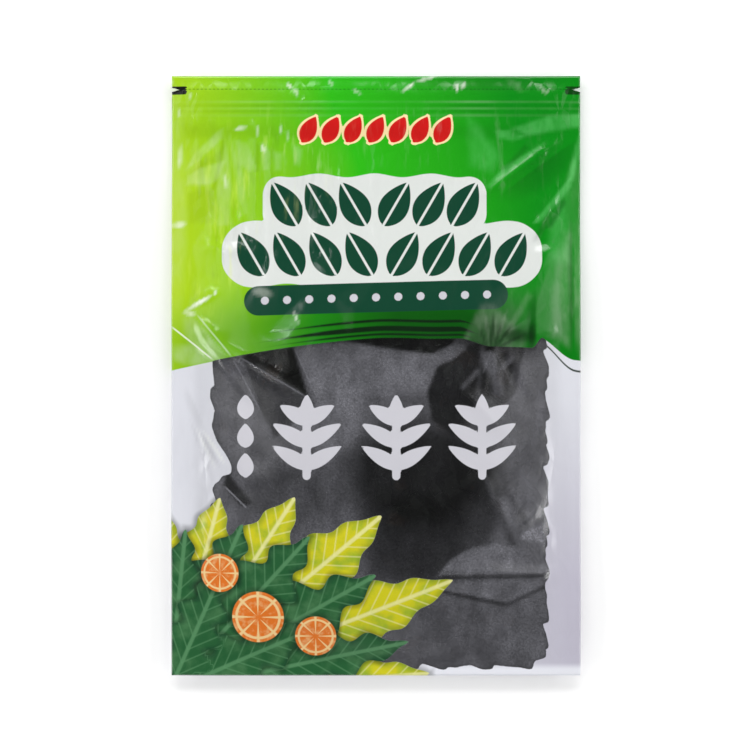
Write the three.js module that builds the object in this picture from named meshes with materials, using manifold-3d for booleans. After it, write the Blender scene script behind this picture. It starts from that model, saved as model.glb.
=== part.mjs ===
// Resealable film pouch of dried cut wakame, lying on its back.
// Millimetres. +X is the pouch's width, +Y runs up to its zip end and +Z out of its printed front.
// The origin is on the resting surface, under the middle of the pouch.
import * as THREE from "three";
import { mergeVertices } from "three/addons/utils/BufferGeometryUtils.js";
import Module from "manifold-3d";

const wasm = await Module();
wasm.setup();

const { lerp, clamp, smoothstep, seededRandom } = THREE.MathUtils;

// Driving dimensions of the two films
const POUCH_WIDTH = 150;
const POUCH_HEIGHT = 220;
const FILM = 0.4;
const SEAL_GAP = 0.3;
const SIDE_SEAL = 6;
const BOTTOM_SEAL = 4;
const TOP_SEAL = 5;

// How the filled pouch swells: height of the seals over the surface, and of the bulge over the seals
const BODY_LEVEL = 4.2;
const HEADER_LEVEL = 2.3;
const HEADER_FROM = 10;
const HEADER_TO = 90;
const FRONT_BULGE = 14.5;
const BACK_BULGE = 9;
const FULLEST_Y = -42;
const SLACK_Y = 88;
const SLACK_SHARE = 0.07;
const SWELL_POWER = 2.4;
const SWELL_SHOULDER = 0.85;

// Folds of the front film: ends, height and half width of each crest, and where they die out at the seals
const FOLDS = [
  { from: [-75, 18], to: [-28, -7], height: 0.9, width: 6 },
  { from: [-70, 24], to: [-50, 5], height: 0.8, width: 6 },
  { from: [74, 91], to: [40, 67], height: 1.1, width: 6 },
  { from: [73, 76], to: [55, 48], height: 1.0, width: 6 },
  { from: [-66, 84], to: [-52, 46], height: 0.8, width: 6 },
  { from: [18, 10], to: [44, -18], height: 0.9, width: 7 },
  { from: [24, -70], to: [62, -73], height: 1.1, width: 6 },
];
const FOLD_FADE = 8;

// Grid lines over the films: how many, how far they bunch towards the edges, and the line beside each seal
const FRONT_GRID = { columns: 22, rows: 30 };
const BACK_GRID = { columns: 14, rows: 18 };
const BUNCHING = 0.45;
const SHOULDER = 3.5;

// Press-to-close zip, as a section across Y and Z that is drawn out along X
const ZIP_Y = 98.2;
const ZIP_LENGTH = 130;
const ZIP_FLANGE = 9;
const ZIP_WALL = 0.4;
const ZIP_ROOM = 1.35;
const ZIP_ROOM_HALF = 5;
const ZIP_ROOM_EASE = 1.7;
const RIB_STEM = 0.8;
const RIB_HEAD = 1.8;
const RIB_HEAD_LOW = -0.15;
const RIB_HEAD_TOP = 0.55;
const JAW_MOUTH = 1.4;
const JAW_INSIDE = 2.4;
const JAW_WALL = 0.7;
const HOOK_LOW = -0.5;
const HOOK_LIP = -0.45;
const HOOK_ROOT = -0.25;

// V notches that start the tear above the zip
const TEAR_Y = 105;
const NOTCH_DEPTH = 3;
const NOTCH_MOUTH = 1.6;
const NOTCH_OVERRUN = 1;

// The heap of dried wakame: a smaller core with flakes rooted in it
const HEAP_HALF_WIDTH = 57;
const HEAP_BOTTOM_Y = -97;
const HEAP_TOP_Y = 34;
const HEAP_CORNER_POWER = 4;
const FILM_CLEARANCE = 1.1;
const CORE_RIM = 1.2;
const CORE_GRID = { columns: 12, rows: 14 };
const CORE_RIPPLE = { height: 0.5, across: 4.3, along: 5.1, sway: 6 };
const FLAKE_LAYER = 4.2;
const FLAKE_ROWS = 9;
const FLAKES_IN_ROW = 8;
const FLAKE_SPREAD = 0.92;
const FLAKE_SCATTER = [-0.35, 0.35];
const FLAKE_LIFT = [1.6, 4.2];
const RIM_FLAKES = 26;
const RIM_SPREAD = 0.94;
const RIM_SCATTER = [-0.3, 0.3];
const RIM_SWING = [-0.5, 0.5];
const RIM_LIFT = [-0.5, 1.5];
const FLAKE_SEED = 41;

// One flake: its grid, its middling size, and the ranges that its random shape is drawn from
const FLAKE_GRID = { columns: 2, rows: 3 };
const FLAKE_LENGTH = 15;
const FLAKE_WIDTH = 9;
const FLAKE_THICKNESS = 0.8;
const FLAKE_ROOT_SHARE = 0.4;
const FLAKE_ROOT_DEPTH = 1.2;
const FLAKE_LENGTH_RANGE = [0.75, 1.25];
const FLAKE_WIDTH_RANGE = [0.7, 1.2];
const FLAKE_GUTTER_RANGE = [-1.6, 1.6];
const FLAKE_CURL_RANGE = [0.4, 2.2];
const FLAKE_UNDER_FILM_RANGE = [0, 1.4];
const FLAKE_OVER_BACK_RANGE = [0.3, 0.9];
const FLAKE_TAPER = { end: 0.6, swell: 0.4, from: 0.2, over: 0.65 };
const FLAKE_RAGGED = { width: 0.18, length: 1.2, rise: 0.5 };

// Points closer than this are one point.
const MERGE = 1e-3;

const HALF_WIDTH = POUCH_WIDTH / 2;
const HALF_HEIGHT = POUCH_HEIGHT / 2;
const INNER_HALF_WIDTH = HALF_WIDTH - SIDE_SEAL;
const INNER_BOTTOM = -HALF_HEIGHT + BOTTOM_SEAL;
const INNER_TOP = HALF_HEIGHT - TOP_SEAL;

// Surfaces of the films

function midLevel(y) {
  return lerp(BODY_LEVEL, HEADER_LEVEL, smoothstep(y, HEADER_FROM, HEADER_TO));
}

function dome(share) {
  return (1 - Math.min(1, share) ** SWELL_POWER) ** SWELL_SHOULDER;
}

function swell(x, y) {
  const across = dome(Math.abs(x) / INNER_HALF_WIDTH);
  if (y < FULLEST_Y) return across * dome((FULLEST_Y - y) / (FULLEST_Y - INNER_BOTTOM));
  const slack = lerp(1, SLACK_SHARE, smoothstep(y, FULLEST_Y, SLACK_Y));
  return across * slack * (1 - smoothstep(y, SLACK_Y, INNER_TOP));
}

function zipRoom(x, y) {
  const alongY = 1 - smoothstep(Math.abs(y - ZIP_Y), ZIP_ROOM_HALF, ZIP_ROOM_HALF + ZIP_ROOM_EASE);
  const alongX = 1 - smoothstep(Math.abs(x), INNER_HALF_WIDTH - SHOULDER, INNER_HALF_WIDTH);
  return ZIP_ROOM * alongX * alongY;
}

function distanceToFold(x, y, fold) {
  const start = new THREE.Vector2(...fold.from);
  const along = new THREE.Vector2(...fold.to).sub(start);
  const point = new THREE.Vector2(x, y).sub(start);
  const share = clamp(point.dot(along) / along.lengthSq(), 0, 1);
  return point.addScaledVector(along, -share).length();
}

function foldHeight(x, y) {
  let height = 0;
  for (const fold of FOLDS) {
    const near = Math.max(0, 1 - distanceToFold(x, y, fold) / fold.width);
    height += fold.height * near ** 2;
  }
  return height * clamp((INNER_HALF_WIDTH - Math.abs(x)) / FOLD_FADE, 0, 1);
}

function frontInner(x, y) {
  return midLevel(y) + SEAL_GAP / 2 + FRONT_BULGE * swell(x, y) + zipRoom(x, y) + foldHeight(x, y);
}

function frontOuter(x, y) {
  return frontInner(x, y) + FILM;
}

function backOuter(x, y) {
  const free = midLevel(y) - SEAL_GAP / 2 - FILM - BACK_BULGE * swell(x, y) - zipRoom(x, y);
  return Math.max(0, free);
}

function backInner(x, y) {
  return backOuter(x, y) + FILM;
}

// Closed solids

function gridRim(columns, rows, at) {
  const rim = [];
  for (let column = 0; column < columns; column++) {
    rim.push(at(column, 0));
  }
  for (let row = 0; row < rows; row++) {
    rim.push(at(columns, row));
  }
  for (let column = columns; column > 0; column--) {
    rim.push(at(column, rows));
  }
  for (let row = rows; row > 0; row--) {
    rim.push(at(0, row));
  }
  return rim;
}

// A closed sheet over a grid of points: its upper and lower faces are split into triangles alike.
function sheetGeometry({ columns, rows }, upper, lower) {
  const points = [];
  for (const face of [upper, lower])
    for (let row = 0; row <= rows; row++)
      for (let column = 0; column <= columns; column++) {
        points.push(...face(column, row).toArray());
      }
  const layer = (columns + 1) * (rows + 1);
  const at = (column, row) => row * (columns + 1) + column;
  const triangles = [];
  for (let row = 0; row < rows; row++)
    for (let column = 0; column < columns; column++) {
      const [a, b] = [at(column, row), at(column + 1, row)];
      const [c, d] = [at(column + 1, row + 1), at(column, row + 1)];
      const split = (column + row) % 2 ? [a, b, d, b, c, d] : [a, b, c, a, c, d];
      triangles.push(...split, ...split.map((index) => index + layer).reverse());
    }
  const rim = gridRim(columns, rows, at);
  rim.forEach((here, i) => {
    const next = rim[(i + 1) % rim.length];
    triangles.push(here, here + layer, next, next, here + layer, next + layer);
  });
  const geometry = new THREE.BufferGeometry();
  geometry.setAttribute("position", new THREE.Float32BufferAttribute(points, 3));
  geometry.setIndex(triangles);
  return geometry;
}

function toSolid(geometry) {
  const bare = geometry.clone();
  bare.deleteAttribute("normal");
  bare.deleteAttribute("uv");
  const merged = mergeVertices(bare, MERGE);
  const mesh = new wasm.Mesh({
    numProp: 3,
    vertProperties: merged.attributes.position.array,
    triVerts: new Uint32Array(merged.index.array),
  });
  return new wasm.Manifold(mesh);
}

function toGeometry(solid) {
  const mesh = solid.getMesh();
  const geometry = new THREE.BufferGeometry();
  geometry.setAttribute("position", new THREE.BufferAttribute(mesh.vertProperties.slice(), 3));
  geometry.setIndex(new THREE.BufferAttribute(mesh.triVerts.slice(), 1));
  geometry.computeVertexNormals();
  return geometry;
}

// The largest closed body of a solid, made afresh until no pinched point parts another from it:
// it leaves out loose scraps and fills sealed hollows.
function mainBody(solid) {
  let bodies = [solid];
  do {
    const largest = bodies.reduce((best, body) => (body.volume() > best.volume() ? body : best));
    bodies = toSolid(toGeometry(largest)).decompose();
  } while (bodies.length > 1);
  return bodies[0];
}

// Films

// Grid lines from edge to edge, with lines on the inner edges of the seals and on the shoulders beside them
function sealedStations(low, innerLow, innerHigh, high, inside) {
  const stations = [low, innerLow];
  for (let i = 0; i <= inside; i++) {
    const even = i / inside;
    const bunched = (1 - Math.cos(Math.PI * even)) / 2;
    const share = lerp(even, bunched, BUNCHING);
    stations.push(lerp(innerLow + SHOULDER, innerHigh - SHOULDER, share));
  }
  stations.push(innerHigh, high);
  return stations;
}

function zipStations() {
  const inner = ZIP_ROOM_HALF;
  const outer = ZIP_ROOM_HALF + ZIP_ROOM_EASE;
  return [-outer, -inner, 0, inner, outer].map((offset) => ZIP_Y + offset);
}

function filmGeometry(grid, above, below) {
  const xs = sealedStations(-HALF_WIDTH, -INNER_HALF_WIDTH, INNER_HALF_WIDTH, HALF_WIDTH, grid.columns);
  const body = sealedStations(-HALF_HEIGHT, INNER_BOTTOM, SLACK_Y, INNER_TOP, grid.rows).slice(0, -1);
  const ys = [...body, ...zipStations(), HALF_HEIGHT];
  const upper = (i, j) => new THREE.Vector3(xs[i], ys[j], above(xs[i], ys[j]));
  const lower = (i, j) => new THREE.Vector3(xs[i], ys[j], below(xs[i], ys[j]));
  return sheetGeometry({ columns: xs.length - 1, rows: ys.length - 1 }, upper, lower);
}

function notchSolid(side) {
  const mouth = side * (HALF_WIDTH + NOTCH_OVERRUN);
  const tip = side * (HALF_WIDTH - NOTCH_DEPTH);
  const outline = new THREE.Shape([
    new THREE.Vector2(mouth, TEAR_Y - NOTCH_MOUTH / 2),
    new THREE.Vector2(mouth, TEAR_Y + NOTCH_MOUTH / 2),
    new THREE.Vector2(tip, TEAR_Y),
  ]);
  return toSolid(new THREE.ExtrudeGeometry(outline, { depth: 2 * HEADER_LEVEL, bevelEnabled: false }));
}

function notchedFilm(geometry) {
  const cut = toSolid(geometry).subtract(notchSolid(-1)).subtract(notchSolid(1));
  return toGeometry(cut);
}

// Zip tracks

// Both sections have z = 0 halfway between the films.
const FLANGE_FACE = ZIP_ROOM - SEAL_GAP / 2;
const FLANGE_ROOT = FLANGE_FACE - ZIP_WALL;

function outlineOf(points) {
  return new THREE.Shape(points.map(([y, z]) => new THREE.Vector2(y, z)));
}

function ribSection() {
  const flange = ZIP_FLANGE / 2;
  return outlineOf([
    [-flange, -FLANGE_FACE],
    [flange, -FLANGE_FACE],
    [flange, -FLANGE_ROOT],
    [RIB_STEM / 2, -FLANGE_ROOT],
    [RIB_STEM / 2, RIB_HEAD_LOW],
    [RIB_HEAD / 2, RIB_HEAD_LOW],
    [RIB_STEM / 2, RIB_HEAD_TOP],
    [-RIB_STEM / 2, RIB_HEAD_TOP],
    [-RIB_HEAD / 2, RIB_HEAD_LOW],
    [-RIB_STEM / 2, RIB_HEAD_LOW],
    [-RIB_STEM / 2, -FLANGE_ROOT],
    [-flange, -FLANGE_ROOT],
  ]);
}

function jawSection() {
  const flange = ZIP_FLANGE / 2;
  const outside = JAW_INSIDE / 2 + JAW_WALL;
  return outlineOf([
    [flange, FLANGE_FACE],
    [-flange, FLANGE_FACE],
    [-flange, FLANGE_ROOT],
    [-outside, FLANGE_ROOT],
    [-outside, HOOK_LOW],
    [-JAW_MOUTH / 2, HOOK_LOW],
    [-JAW_MOUTH / 2, HOOK_LIP],
    [-JAW_INSIDE / 2, HOOK_ROOT],
    [-JAW_INSIDE / 2, FLANGE_ROOT],
    [JAW_INSIDE / 2, FLANGE_ROOT],
    [JAW_INSIDE / 2, HOOK_ROOT],
    [JAW_MOUTH / 2, HOOK_LIP],
    [JAW_MOUTH / 2, HOOK_LOW],
    [outside, HOOK_LOW],
    [outside, FLANGE_ROOT],
    [flange, FLANGE_ROOT],
  ]);
}

function trackGeometry(section) {
  return new THREE.ExtrudeGeometry(section, { depth: ZIP_LENGTH, bevelEnabled: false });
}

// Dried wakame

// A point of the heap's outline, a square with full rounded corners, from -1 to 1 each way
function heapPoint(across, along) {
  const power = HEAP_CORNER_POWER;
  const reach = (Math.abs(across) ** power + Math.abs(along) ** power) ** (1 / power);
  const shrink = reach > 0 ? Math.max(Math.abs(across), Math.abs(along)) / reach : 1;
  const y = lerp(HEAP_BOTTOM_Y, HEAP_TOP_Y, (along * shrink + 1) / 2);
  return [across * shrink * HEAP_HALF_WIDTH, y];
}

function coreBottom(x, y) {
  return backInner(x, y) + FILM_CLEARANCE;
}

function coreTop(x, y) {
  const sway = Math.sin(y / CORE_RIPPLE.sway);
  const wave = Math.sin(x / CORE_RIPPLE.across + sway) * Math.cos(y / CORE_RIPPLE.along);
  const rippled = frontInner(x, y) - FLAKE_LAYER + CORE_RIPPLE.height * wave;
  return Math.max(coreBottom(x, y) + CORE_RIM, rippled);
}

function coreGeometry() {
  const { columns, rows } = CORE_GRID;
  const place = (i, j) => heapPoint((2 * i) / columns - 1, (2 * j) / rows - 1);
  const pointOn = (level) => (i, j) => {
    const [x, y] = place(i, j);
    return new THREE.Vector3(x, y, level(x, y));
  };
  return sheetGeometry(CORE_GRID, pointOn(coreTop), pointOn(coreBottom));
}

function between([low, high]) {
  return lerp(low, high, seededRandom());
}

// One curled, ragged flake: its root end is sunk in the core and its free end lifts to just under the film.
function flakeGeometry(x, y, heading, lift) {
  const length = FLAKE_LENGTH * between(FLAKE_LENGTH_RANGE);
  const width = FLAKE_WIDTH * between(FLAKE_WIDTH_RANGE);
  const gutter = between(FLAKE_GUTTER_RANGE);
  const curl = between(FLAKE_CURL_RANGE);
  const underFilm = FILM_CLEARANCE + between(FLAKE_UNDER_FILM_RANGE);
  const overBack = FILM_CLEARANCE + between(FLAKE_OVER_BACK_RANGE);
  const { columns, rows } = FLAKE_GRID;
  const ragged = [];
  for (let i = 0; i < (columns + 1) * (rows + 1); i++) {
    ragged.push(between([-1, 1]));
  }
  const direction = new THREE.Vector2(Math.cos(heading), Math.sin(heading));
  const rootLevel = coreTop(x, y) - FLAKE_ROOT_DEPTH;
  const lower = (column, row) => {
    const jag = ragged[row * (columns + 1) + column];
    const alongShare = row / rows;
    const side = (2 * column) / columns - 1;
    const belly = Math.sin(Math.PI * (FLAKE_TAPER.from + FLAKE_TAPER.over * alongShare));
    const taper = FLAKE_TAPER.end + FLAKE_TAPER.swell * belly + FLAKE_RAGGED.width * jag;
    const along = length * (alongShare - FLAKE_ROOT_SHARE) + FLAKE_RAGGED.length * jag * Math.abs(side);
    const across = side * (width / 2) * taper;
    const px = x + along * direction.x + across * direction.y;
    const py = y + along * direction.y - across * direction.x;
    const bend = curl * (alongShare - 0.5) ** 2 + gutter * Math.abs(side);
    const rise = lift * alongShare + bend + FLAKE_RAGGED.rise * jag;
    const top = Math.min(frontInner(px, py) - underFilm, rootLevel + rise);
    const floor = backInner(px, py) + overBack;
    return new THREE.Vector3(px, py, Math.max(floor, top - FLAKE_THICKNESS));
  };
  const thickness = new THREE.Vector3(0, 0, FLAKE_THICKNESS);
  const upper = (column, row) => lower(column, row).add(thickness);
  return sheetGeometry(FLAKE_GRID, upper, lower);
}

function scatteredShare(index, count) {
  const share = (index + 0.5 + between(FLAKE_SCATTER)) / count;
  return lerp(-FLAKE_SPREAD, FLAKE_SPREAD, share);
}

function heapGeometry() {
  seededRandom(FLAKE_SEED);
  let heap = toSolid(coreGeometry());
  const rootFlake = (across, along, heading, lift) => {
    const [x, y] = heapPoint(across, along);
    const flake = toSolid(flakeGeometry(x, y, heading, lift));
    heap = heap.add(flake);
  };
  for (let row = 0; row < FLAKE_ROWS; row++)
    for (let i = 0; i < FLAKES_IN_ROW; i++) {
      const across = scatteredShare(i, FLAKES_IN_ROW);
      const along = scatteredShare(row, FLAKE_ROWS);
      const heading = between([0, 2 * Math.PI]);
      rootFlake(across, along, heading, between(FLAKE_LIFT));
    }
  for (let i = 0; i < RIM_FLAKES; i++) {
    const angle = ((i + between(RIM_SCATTER)) / RIM_FLAKES) * 2 * Math.PI;
    const toSquare = RIM_SPREAD / Math.max(Math.abs(Math.cos(angle)), Math.abs(Math.sin(angle)));
    const heading = angle + between(RIM_SWING);
    rootFlake(toSquare * Math.cos(angle), toSquare * Math.sin(angle), heading, between(RIM_LIFT));
  }
  return toGeometry(mainBody(heap));
}

// The pouch

const PRINTED_FILM = new THREE.MeshStandardMaterial({
  color: 0x4fb52a,
  roughness: 0.25,
  metalness: 0,
  transparent: true,
  opacity: 0.55,
});
const WHITE_FILM = new THREE.MeshStandardMaterial({ color: 0xd8dbe2, roughness: 0.3, metalness: 0 });
const ZIP_PLASTIC = new THREE.MeshStandardMaterial({ color: 0xe4ece0, roughness: 0.4, metalness: 0 });
const DRIED_WAKAME = new THREE.MeshStandardMaterial({ color: 0x1d231c, roughness: 0.75, metalness: 0 });

function named(name, geometry, material) {
  const mesh = new THREE.Mesh(geometry, material);
  mesh.name = name;
  return mesh;
}

function zipGroup() {
  const zip = new THREE.Group();
  const sectionToLength = new THREE.Matrix4().makeBasis(
    new THREE.Vector3(0, 1, 0),
    new THREE.Vector3(0, 0, 1),
    new THREE.Vector3(1, 0, 0),
  );
  zip.quaternion.setFromRotationMatrix(sectionToLength);
  zip.position.set(-ZIP_LENGTH / 2, ZIP_Y, midLevel(ZIP_Y));
  zip.add(named("zip_rib_track", trackGeometry(ribSection()), ZIP_PLASTIC));
  zip.add(named("zip_groove_track", trackGeometry(jawSection()), ZIP_PLASTIC));
  return zip;
}

const pouch = new THREE.Group();
pouch.add(named("back_film", notchedFilm(filmGeometry(BACK_GRID, backInner, backOuter)), WHITE_FILM));
pouch.add(named("front_film", notchedFilm(filmGeometry(FRONT_GRID, frontOuter, frontInner)), PRINTED_FILM));
pouch.add(named("dried_wakame", heapGeometry(), DRIED_WAKAME));
pouch.add(zipGroup());

export default pouch;
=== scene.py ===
"""Dresses the solids of a resealable film pouch of dried wakame: films, print, zip, flakes and stage."""

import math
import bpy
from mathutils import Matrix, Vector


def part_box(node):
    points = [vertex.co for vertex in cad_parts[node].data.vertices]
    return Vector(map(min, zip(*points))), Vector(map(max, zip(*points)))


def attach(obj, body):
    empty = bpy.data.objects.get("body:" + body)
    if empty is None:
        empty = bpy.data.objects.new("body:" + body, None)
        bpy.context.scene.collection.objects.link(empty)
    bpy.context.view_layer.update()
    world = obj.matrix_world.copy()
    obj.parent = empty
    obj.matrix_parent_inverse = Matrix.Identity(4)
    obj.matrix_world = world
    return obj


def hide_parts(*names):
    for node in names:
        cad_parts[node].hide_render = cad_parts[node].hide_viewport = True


bl_info = {
    "name": "Dried Wakame Pouch",
    "version": (1, 0, 0),
    "blender": (4, 5, 0),
    "location": "View3D > Sidebar > Pouch",
    "description": "Builds the printed films, the zip and the dried flakes of a resealable pouch",
    "category": "Object",
}

from typing import NamedTuple

import bpy
import numpy as np
from bpy.props import FloatProperty, FloatVectorProperty, IntProperty, PointerProperty
from bpy.types import Operator, Panel, PropertyGroup

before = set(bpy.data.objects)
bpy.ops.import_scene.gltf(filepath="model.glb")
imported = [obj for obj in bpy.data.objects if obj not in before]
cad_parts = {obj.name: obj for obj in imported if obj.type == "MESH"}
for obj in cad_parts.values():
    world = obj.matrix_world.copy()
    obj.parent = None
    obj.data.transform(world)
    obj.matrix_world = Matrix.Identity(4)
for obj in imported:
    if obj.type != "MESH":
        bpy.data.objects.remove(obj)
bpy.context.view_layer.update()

# Places and shapes below are in millimetres, and settings and meshes in metres.
MM = 0.001
TINY = 1e-9
FILM_LOW, FILM_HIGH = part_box("front_film")
HALF_WIDTH = (FILM_HIGH.x - FILM_LOW.x) / 2 / MM
HALF_HEIGHT = (FILM_HIGH.y - FILM_LOW.y) / 2 / MM

# How the fill swells the films, as in the solids
BODY_LEVEL = 4.2
HEADER_LEVEL = 2.3
HEADER_FROM = 10
HEADER_TO = 90
FULLEST_Y = -42
SLACK_Y = 88
SLACK_SHARE = 0.07
SWELL_POWER = 2.4
SWELL_SHOULDER = 0.85
SEAL_EASE = 0.2
SHOULDER = 3.5
FOLD_FADE = 8

# Zip and tear notches: the film's ridges have a place over the zip's middle, a height and a half width
ZIP_Y = 98.2
ZIP_ROOM = 1.35
ZIP_ROOM_HALF = 5
ZIP_ROOM_EASE = 7
ZIP_RIDGES = ((-4.3, 0.1, 0.8), (-1.7, 0.24, 0.9), (1.7, 0.24, 0.9), (4.3, 0.1, 0.8))
TEAR_Y = 105
TEAR_GROOVE = (-0.06, 0.7)
NOTCH_DEPTH = 3
NOTCH_MOUTH = 1.6
NOTCH_EASE = 15

# Lines of the fine grids over the films
FRONT_COLUMNS = 176
FRONT_ROWS = 258
BACK_COLUMNS = 90
BACK_ROWS = 130


class Fold(NamedTuple):
    """A broad fold of the front film, as in the solids: its ends, height and half width."""

    start: tuple
    end: tuple
    height: float
    width: float


class Crease(NamedTuple):
    """A sharp crease: its ends, its height and how far it runs out to the left and right of its line."""

    start: tuple
    end: tuple
    height: float
    left: float
    right: float


class FacetZone(NamedTuple):
    """Where the film is crumpled into flat facets: spans, a facet's size and the steepest slope."""

    across: tuple
    along: tuple
    facet: tuple
    slope: float


FOLDS = (
    Fold((-75, 18), (-28, -7), 0.9, 6),
    Fold((-70, 24), (-50, 5), 0.8, 6),
    Fold((74, 91), (40, 67), 1.1, 6),
    Fold((73, 76), (55, 48), 1.0, 6),
    Fold((-66, 84), (-52, 46), 0.8, 6),
    Fold((18, 10), (44, -18), 0.9, 7),
    Fold((24, -70), (62, -73), 1.1, 6),
)

CREASES = (
    # The angled pair at the left, and the lines that they send over the window
    Crease((-74, 22), (-56, 31.5), 0.5, 3.4, 1.8),
    Crease((-72, 26), (-41, -15), 0.5, 5, 2.4),
    Crease((-80, 22), (-56, 3), 0.4, 1.6, 1.6),
    Crease((-54, 9.5), (-22, -10), 0.35, 3, 2),
    Crease((-31, 12), (-20.5, -10), -0.3, 7, 3),
    # Folds at the upper right corner and along the right edge
    Crease((82, 98), (38, 65), 0.9, 5, 9),
    Crease((74, 78), (57, 52), 0.5, 4, 5),
    Crease((73, 68), (60, 40), 0.6, 3, 4),
    Crease((57, 50), (59, 2), 0.7, 11, 8),
    # Streaks down from the zip at the left
    Crease((-58, 90), (-53, 62), 0.5, 2.4, 3),
    Crease((-72, 68), (-60, 85), 0.9, 4, 3),
    Crease((-42, 90), (-36, 64), 0.5, 3, 3),
    # Facets at the upper right of the window
    Crease((42, 12), (38, -8), 0.25, 4, 3),
    Crease((42, 12), (47, -10), 0.3, 3, 4),
    Crease((43, 12), (57, -14), -0.3, 4, 5),
    Crease((42, 11), (33, 25), 0.25, 3, 3),
    Crease((42, 11), (44, 28), 0.3, 3, 3),
    Crease((42, 11), (56, 22), 0.3, 3, 3),
    # The flap at the lower right of the window
    Crease((22, -69), (37, -60.5), 0.2, 6, 3),
    Crease((35, -60.5), (50, -61.5), 0.2, 6, 3),
    Crease((48, -61), (64, -68.5), 0.2, 6, 3),
    Crease((20, -72.8), (67, -72.8), -0.15, 3.5, 3.5),
    Crease((24, -76.5), (49, -83), 0.3, 3, 4),
    Crease((47, -83), (64, -76), 0.3, 3, 4),
    Crease((39, -34), (47.5, -60), 0.4, 5, 4),
    Crease((47, -59), (62, -47), 0.4, 4, 4),
    Crease((50, -32), (55, -54), -0.3, 4, 4),
)

FACET_SEED = 23
FACET_ZONES = (
    # Upright streaks down from the zip, finer at the left
    FacetZone((-70, 6), (44, 96), (6, 21), 0.26),
    FacetZone((2, 70), (44, 96), (10, 19), 0.14),
    # Crinkles of the top strip
    FacetZone((-73, 73), (97, 110), (8, 6), 0.1),
    # Lower part of the header
    FacetZone((-70, 70), (12, 50), (12, 16), 0.14),
    # Over the fill
    FacetZone((-66, 66), (-95, 18), (19, 21), 0.06),
    # Puckers beside the two side seals
    FacetZone((-72, -56), (-104, 0), (9, 5), 0.07),
    FacetZone((56, 72), (-104, 0), (9, 5), 0.07),
)
FACET_EASE = 5
CREASE_END_SHARE = 0.3
CREASE_SHARPNESS = 1.3
CALM_EDGE = 5
LUMP_SEED = 5
LUMP_WAVES = 14
LUMP_LENGTHS = (9, 26)
LUMP_HEIGHT = 0.035

# Ripple of both films along the sealed sides: each wave has a share, a rate and a phase
SWAY_HEIGHT = 0.45
SWAY_LENGTH = 15
SWAY_FROM = 58
SWAY_WAVES = ((1, 1, 1), (0.5, 2.3, 2))


def srgb(red, green, blue):
    """A linear colour from 0 to 255 display values."""
    shares = [value / 255 for value in (red, green, blue)]
    return tuple(s / 12.92 if s <= 0.04045 else ((s + 0.055) / 1.055) ** 2.4 for s in shares)


def length_property(name, description, millimetres):
    return FloatProperty(
        name=name, description=description, default=millimetres * MM, min=0, unit="LENGTH", precision=5
    )


def colour_property(name, description, colour):
    return FloatVectorProperty(
        name=name, description=description, default=srgb(*colour), min=0, max=1, subtype="COLOR"
    )


class PouchSizes(PropertyGroup):
    """Sizes of the films and of their swell."""

    film: length_property("Film", "Thickness of each film", 0.4)
    seal_gap: length_property("Seal Gap", "Gap between the films along the seals", 0.3)
    side_seal: length_property("Side Seal", "Width of the sealed strip at each side", 6)
    bottom_seal: length_property("Bottom Seal", "Height of the sealed strip at the bottom", 4)
    top_seal: length_property("Top Seal", "Height of the sealed strip at the top", 5)
    front_bulge: length_property("Front Bulge", "Rise of the front film over the seals", 14.5)
    back_bulge: length_property("Back Bulge", "Drop of the free back film under the seals", 9)
    crumple: FloatProperty(
        name="Crumple", description="Strength of the small creases", default=1, min=0, max=2, subtype="FACTOR"
    )


class PrintInks(PropertyGroup):
    """Colours of the print and of the films, and of the painted sheen, shade and reflection over them."""

    lime: colour_property("Lime", "Field at the left edge", (178, 212, 30))
    leaf: colour_property("Leaf Green", "Field in the middle", (46, 184, 20))
    forest: colour_property("Forest Green", "Field at the right", (6, 136, 20))
    # Shade green is also the ink of the painted shade in dark streaks and zip lines, and of the tear line and
    # the right tear mark
    shade: colour_property("Shade Green", "Field close to its lower edge", (4, 66, 8))
    # Stripe green is also the painted shade of dark folds over the field
    stripe: colour_property("Stripe Green", "Lines along the field's lower edge", (6, 34, 10))
    panel: colour_property("Panel White", "Side panels", (207, 208, 215))
    # Painted shade: the panels dim to this colour towards the lower right
    panel_shade: colour_property("Panel Dim", "Side panel towards the lower right", (188, 185, 199))
    plaque: colour_property("Plaque White", "Plaque and the leaf garland's ribs", (219, 223, 219))
    motif: colour_property("Motif White", "Sprigs, drops and dots", (202, 201, 208))
    deep: colour_property("Deep Green", "Bar and leaf garland", (14, 66, 46))
    red: colour_property("Red", "Leaf row at the top", (206, 26, 24))
    cream: colour_property("Cream", "Outline of the leaf row", (250, 226, 170))
    yellow: colour_property("Yellow", "Large leaves of the picture", (206, 200, 34))
    frond: colour_property("Frond Green", "Fronds of the picture", (38, 92, 52))
    orange: colour_property("Orange", "Slices of the picture", (222, 116, 40))
    black: colour_property("Mark Black", "Tear marks", (12, 16, 12))
    # Veil is the grey of the dust haze in the window, which also carries painted reflection
    veil: colour_property("Veil", "Dust haze inside the window", (150, 150, 158))
    # Painted sheen: the white of the painted glints, streaks and facets that stand in for the film's
    # reflections
    painted_sheen: colour_property("Milk", "Film gone milky at its creases", (248, 252, 240))
    # Painted sheen in lime over the lime end of the field
    lime_sheen: colour_property("Glow", "Milky streaks over the lime end of the field", (232, 248, 110))
    # Painted sheen in pale green over the forest end of the field
    forest_sheen: colour_property("Mint", "Milky facets over the forest end of the field", (120, 230, 130))
    lining: colour_property("Lining", "Inside of the back film", (20, 22, 22))


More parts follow.
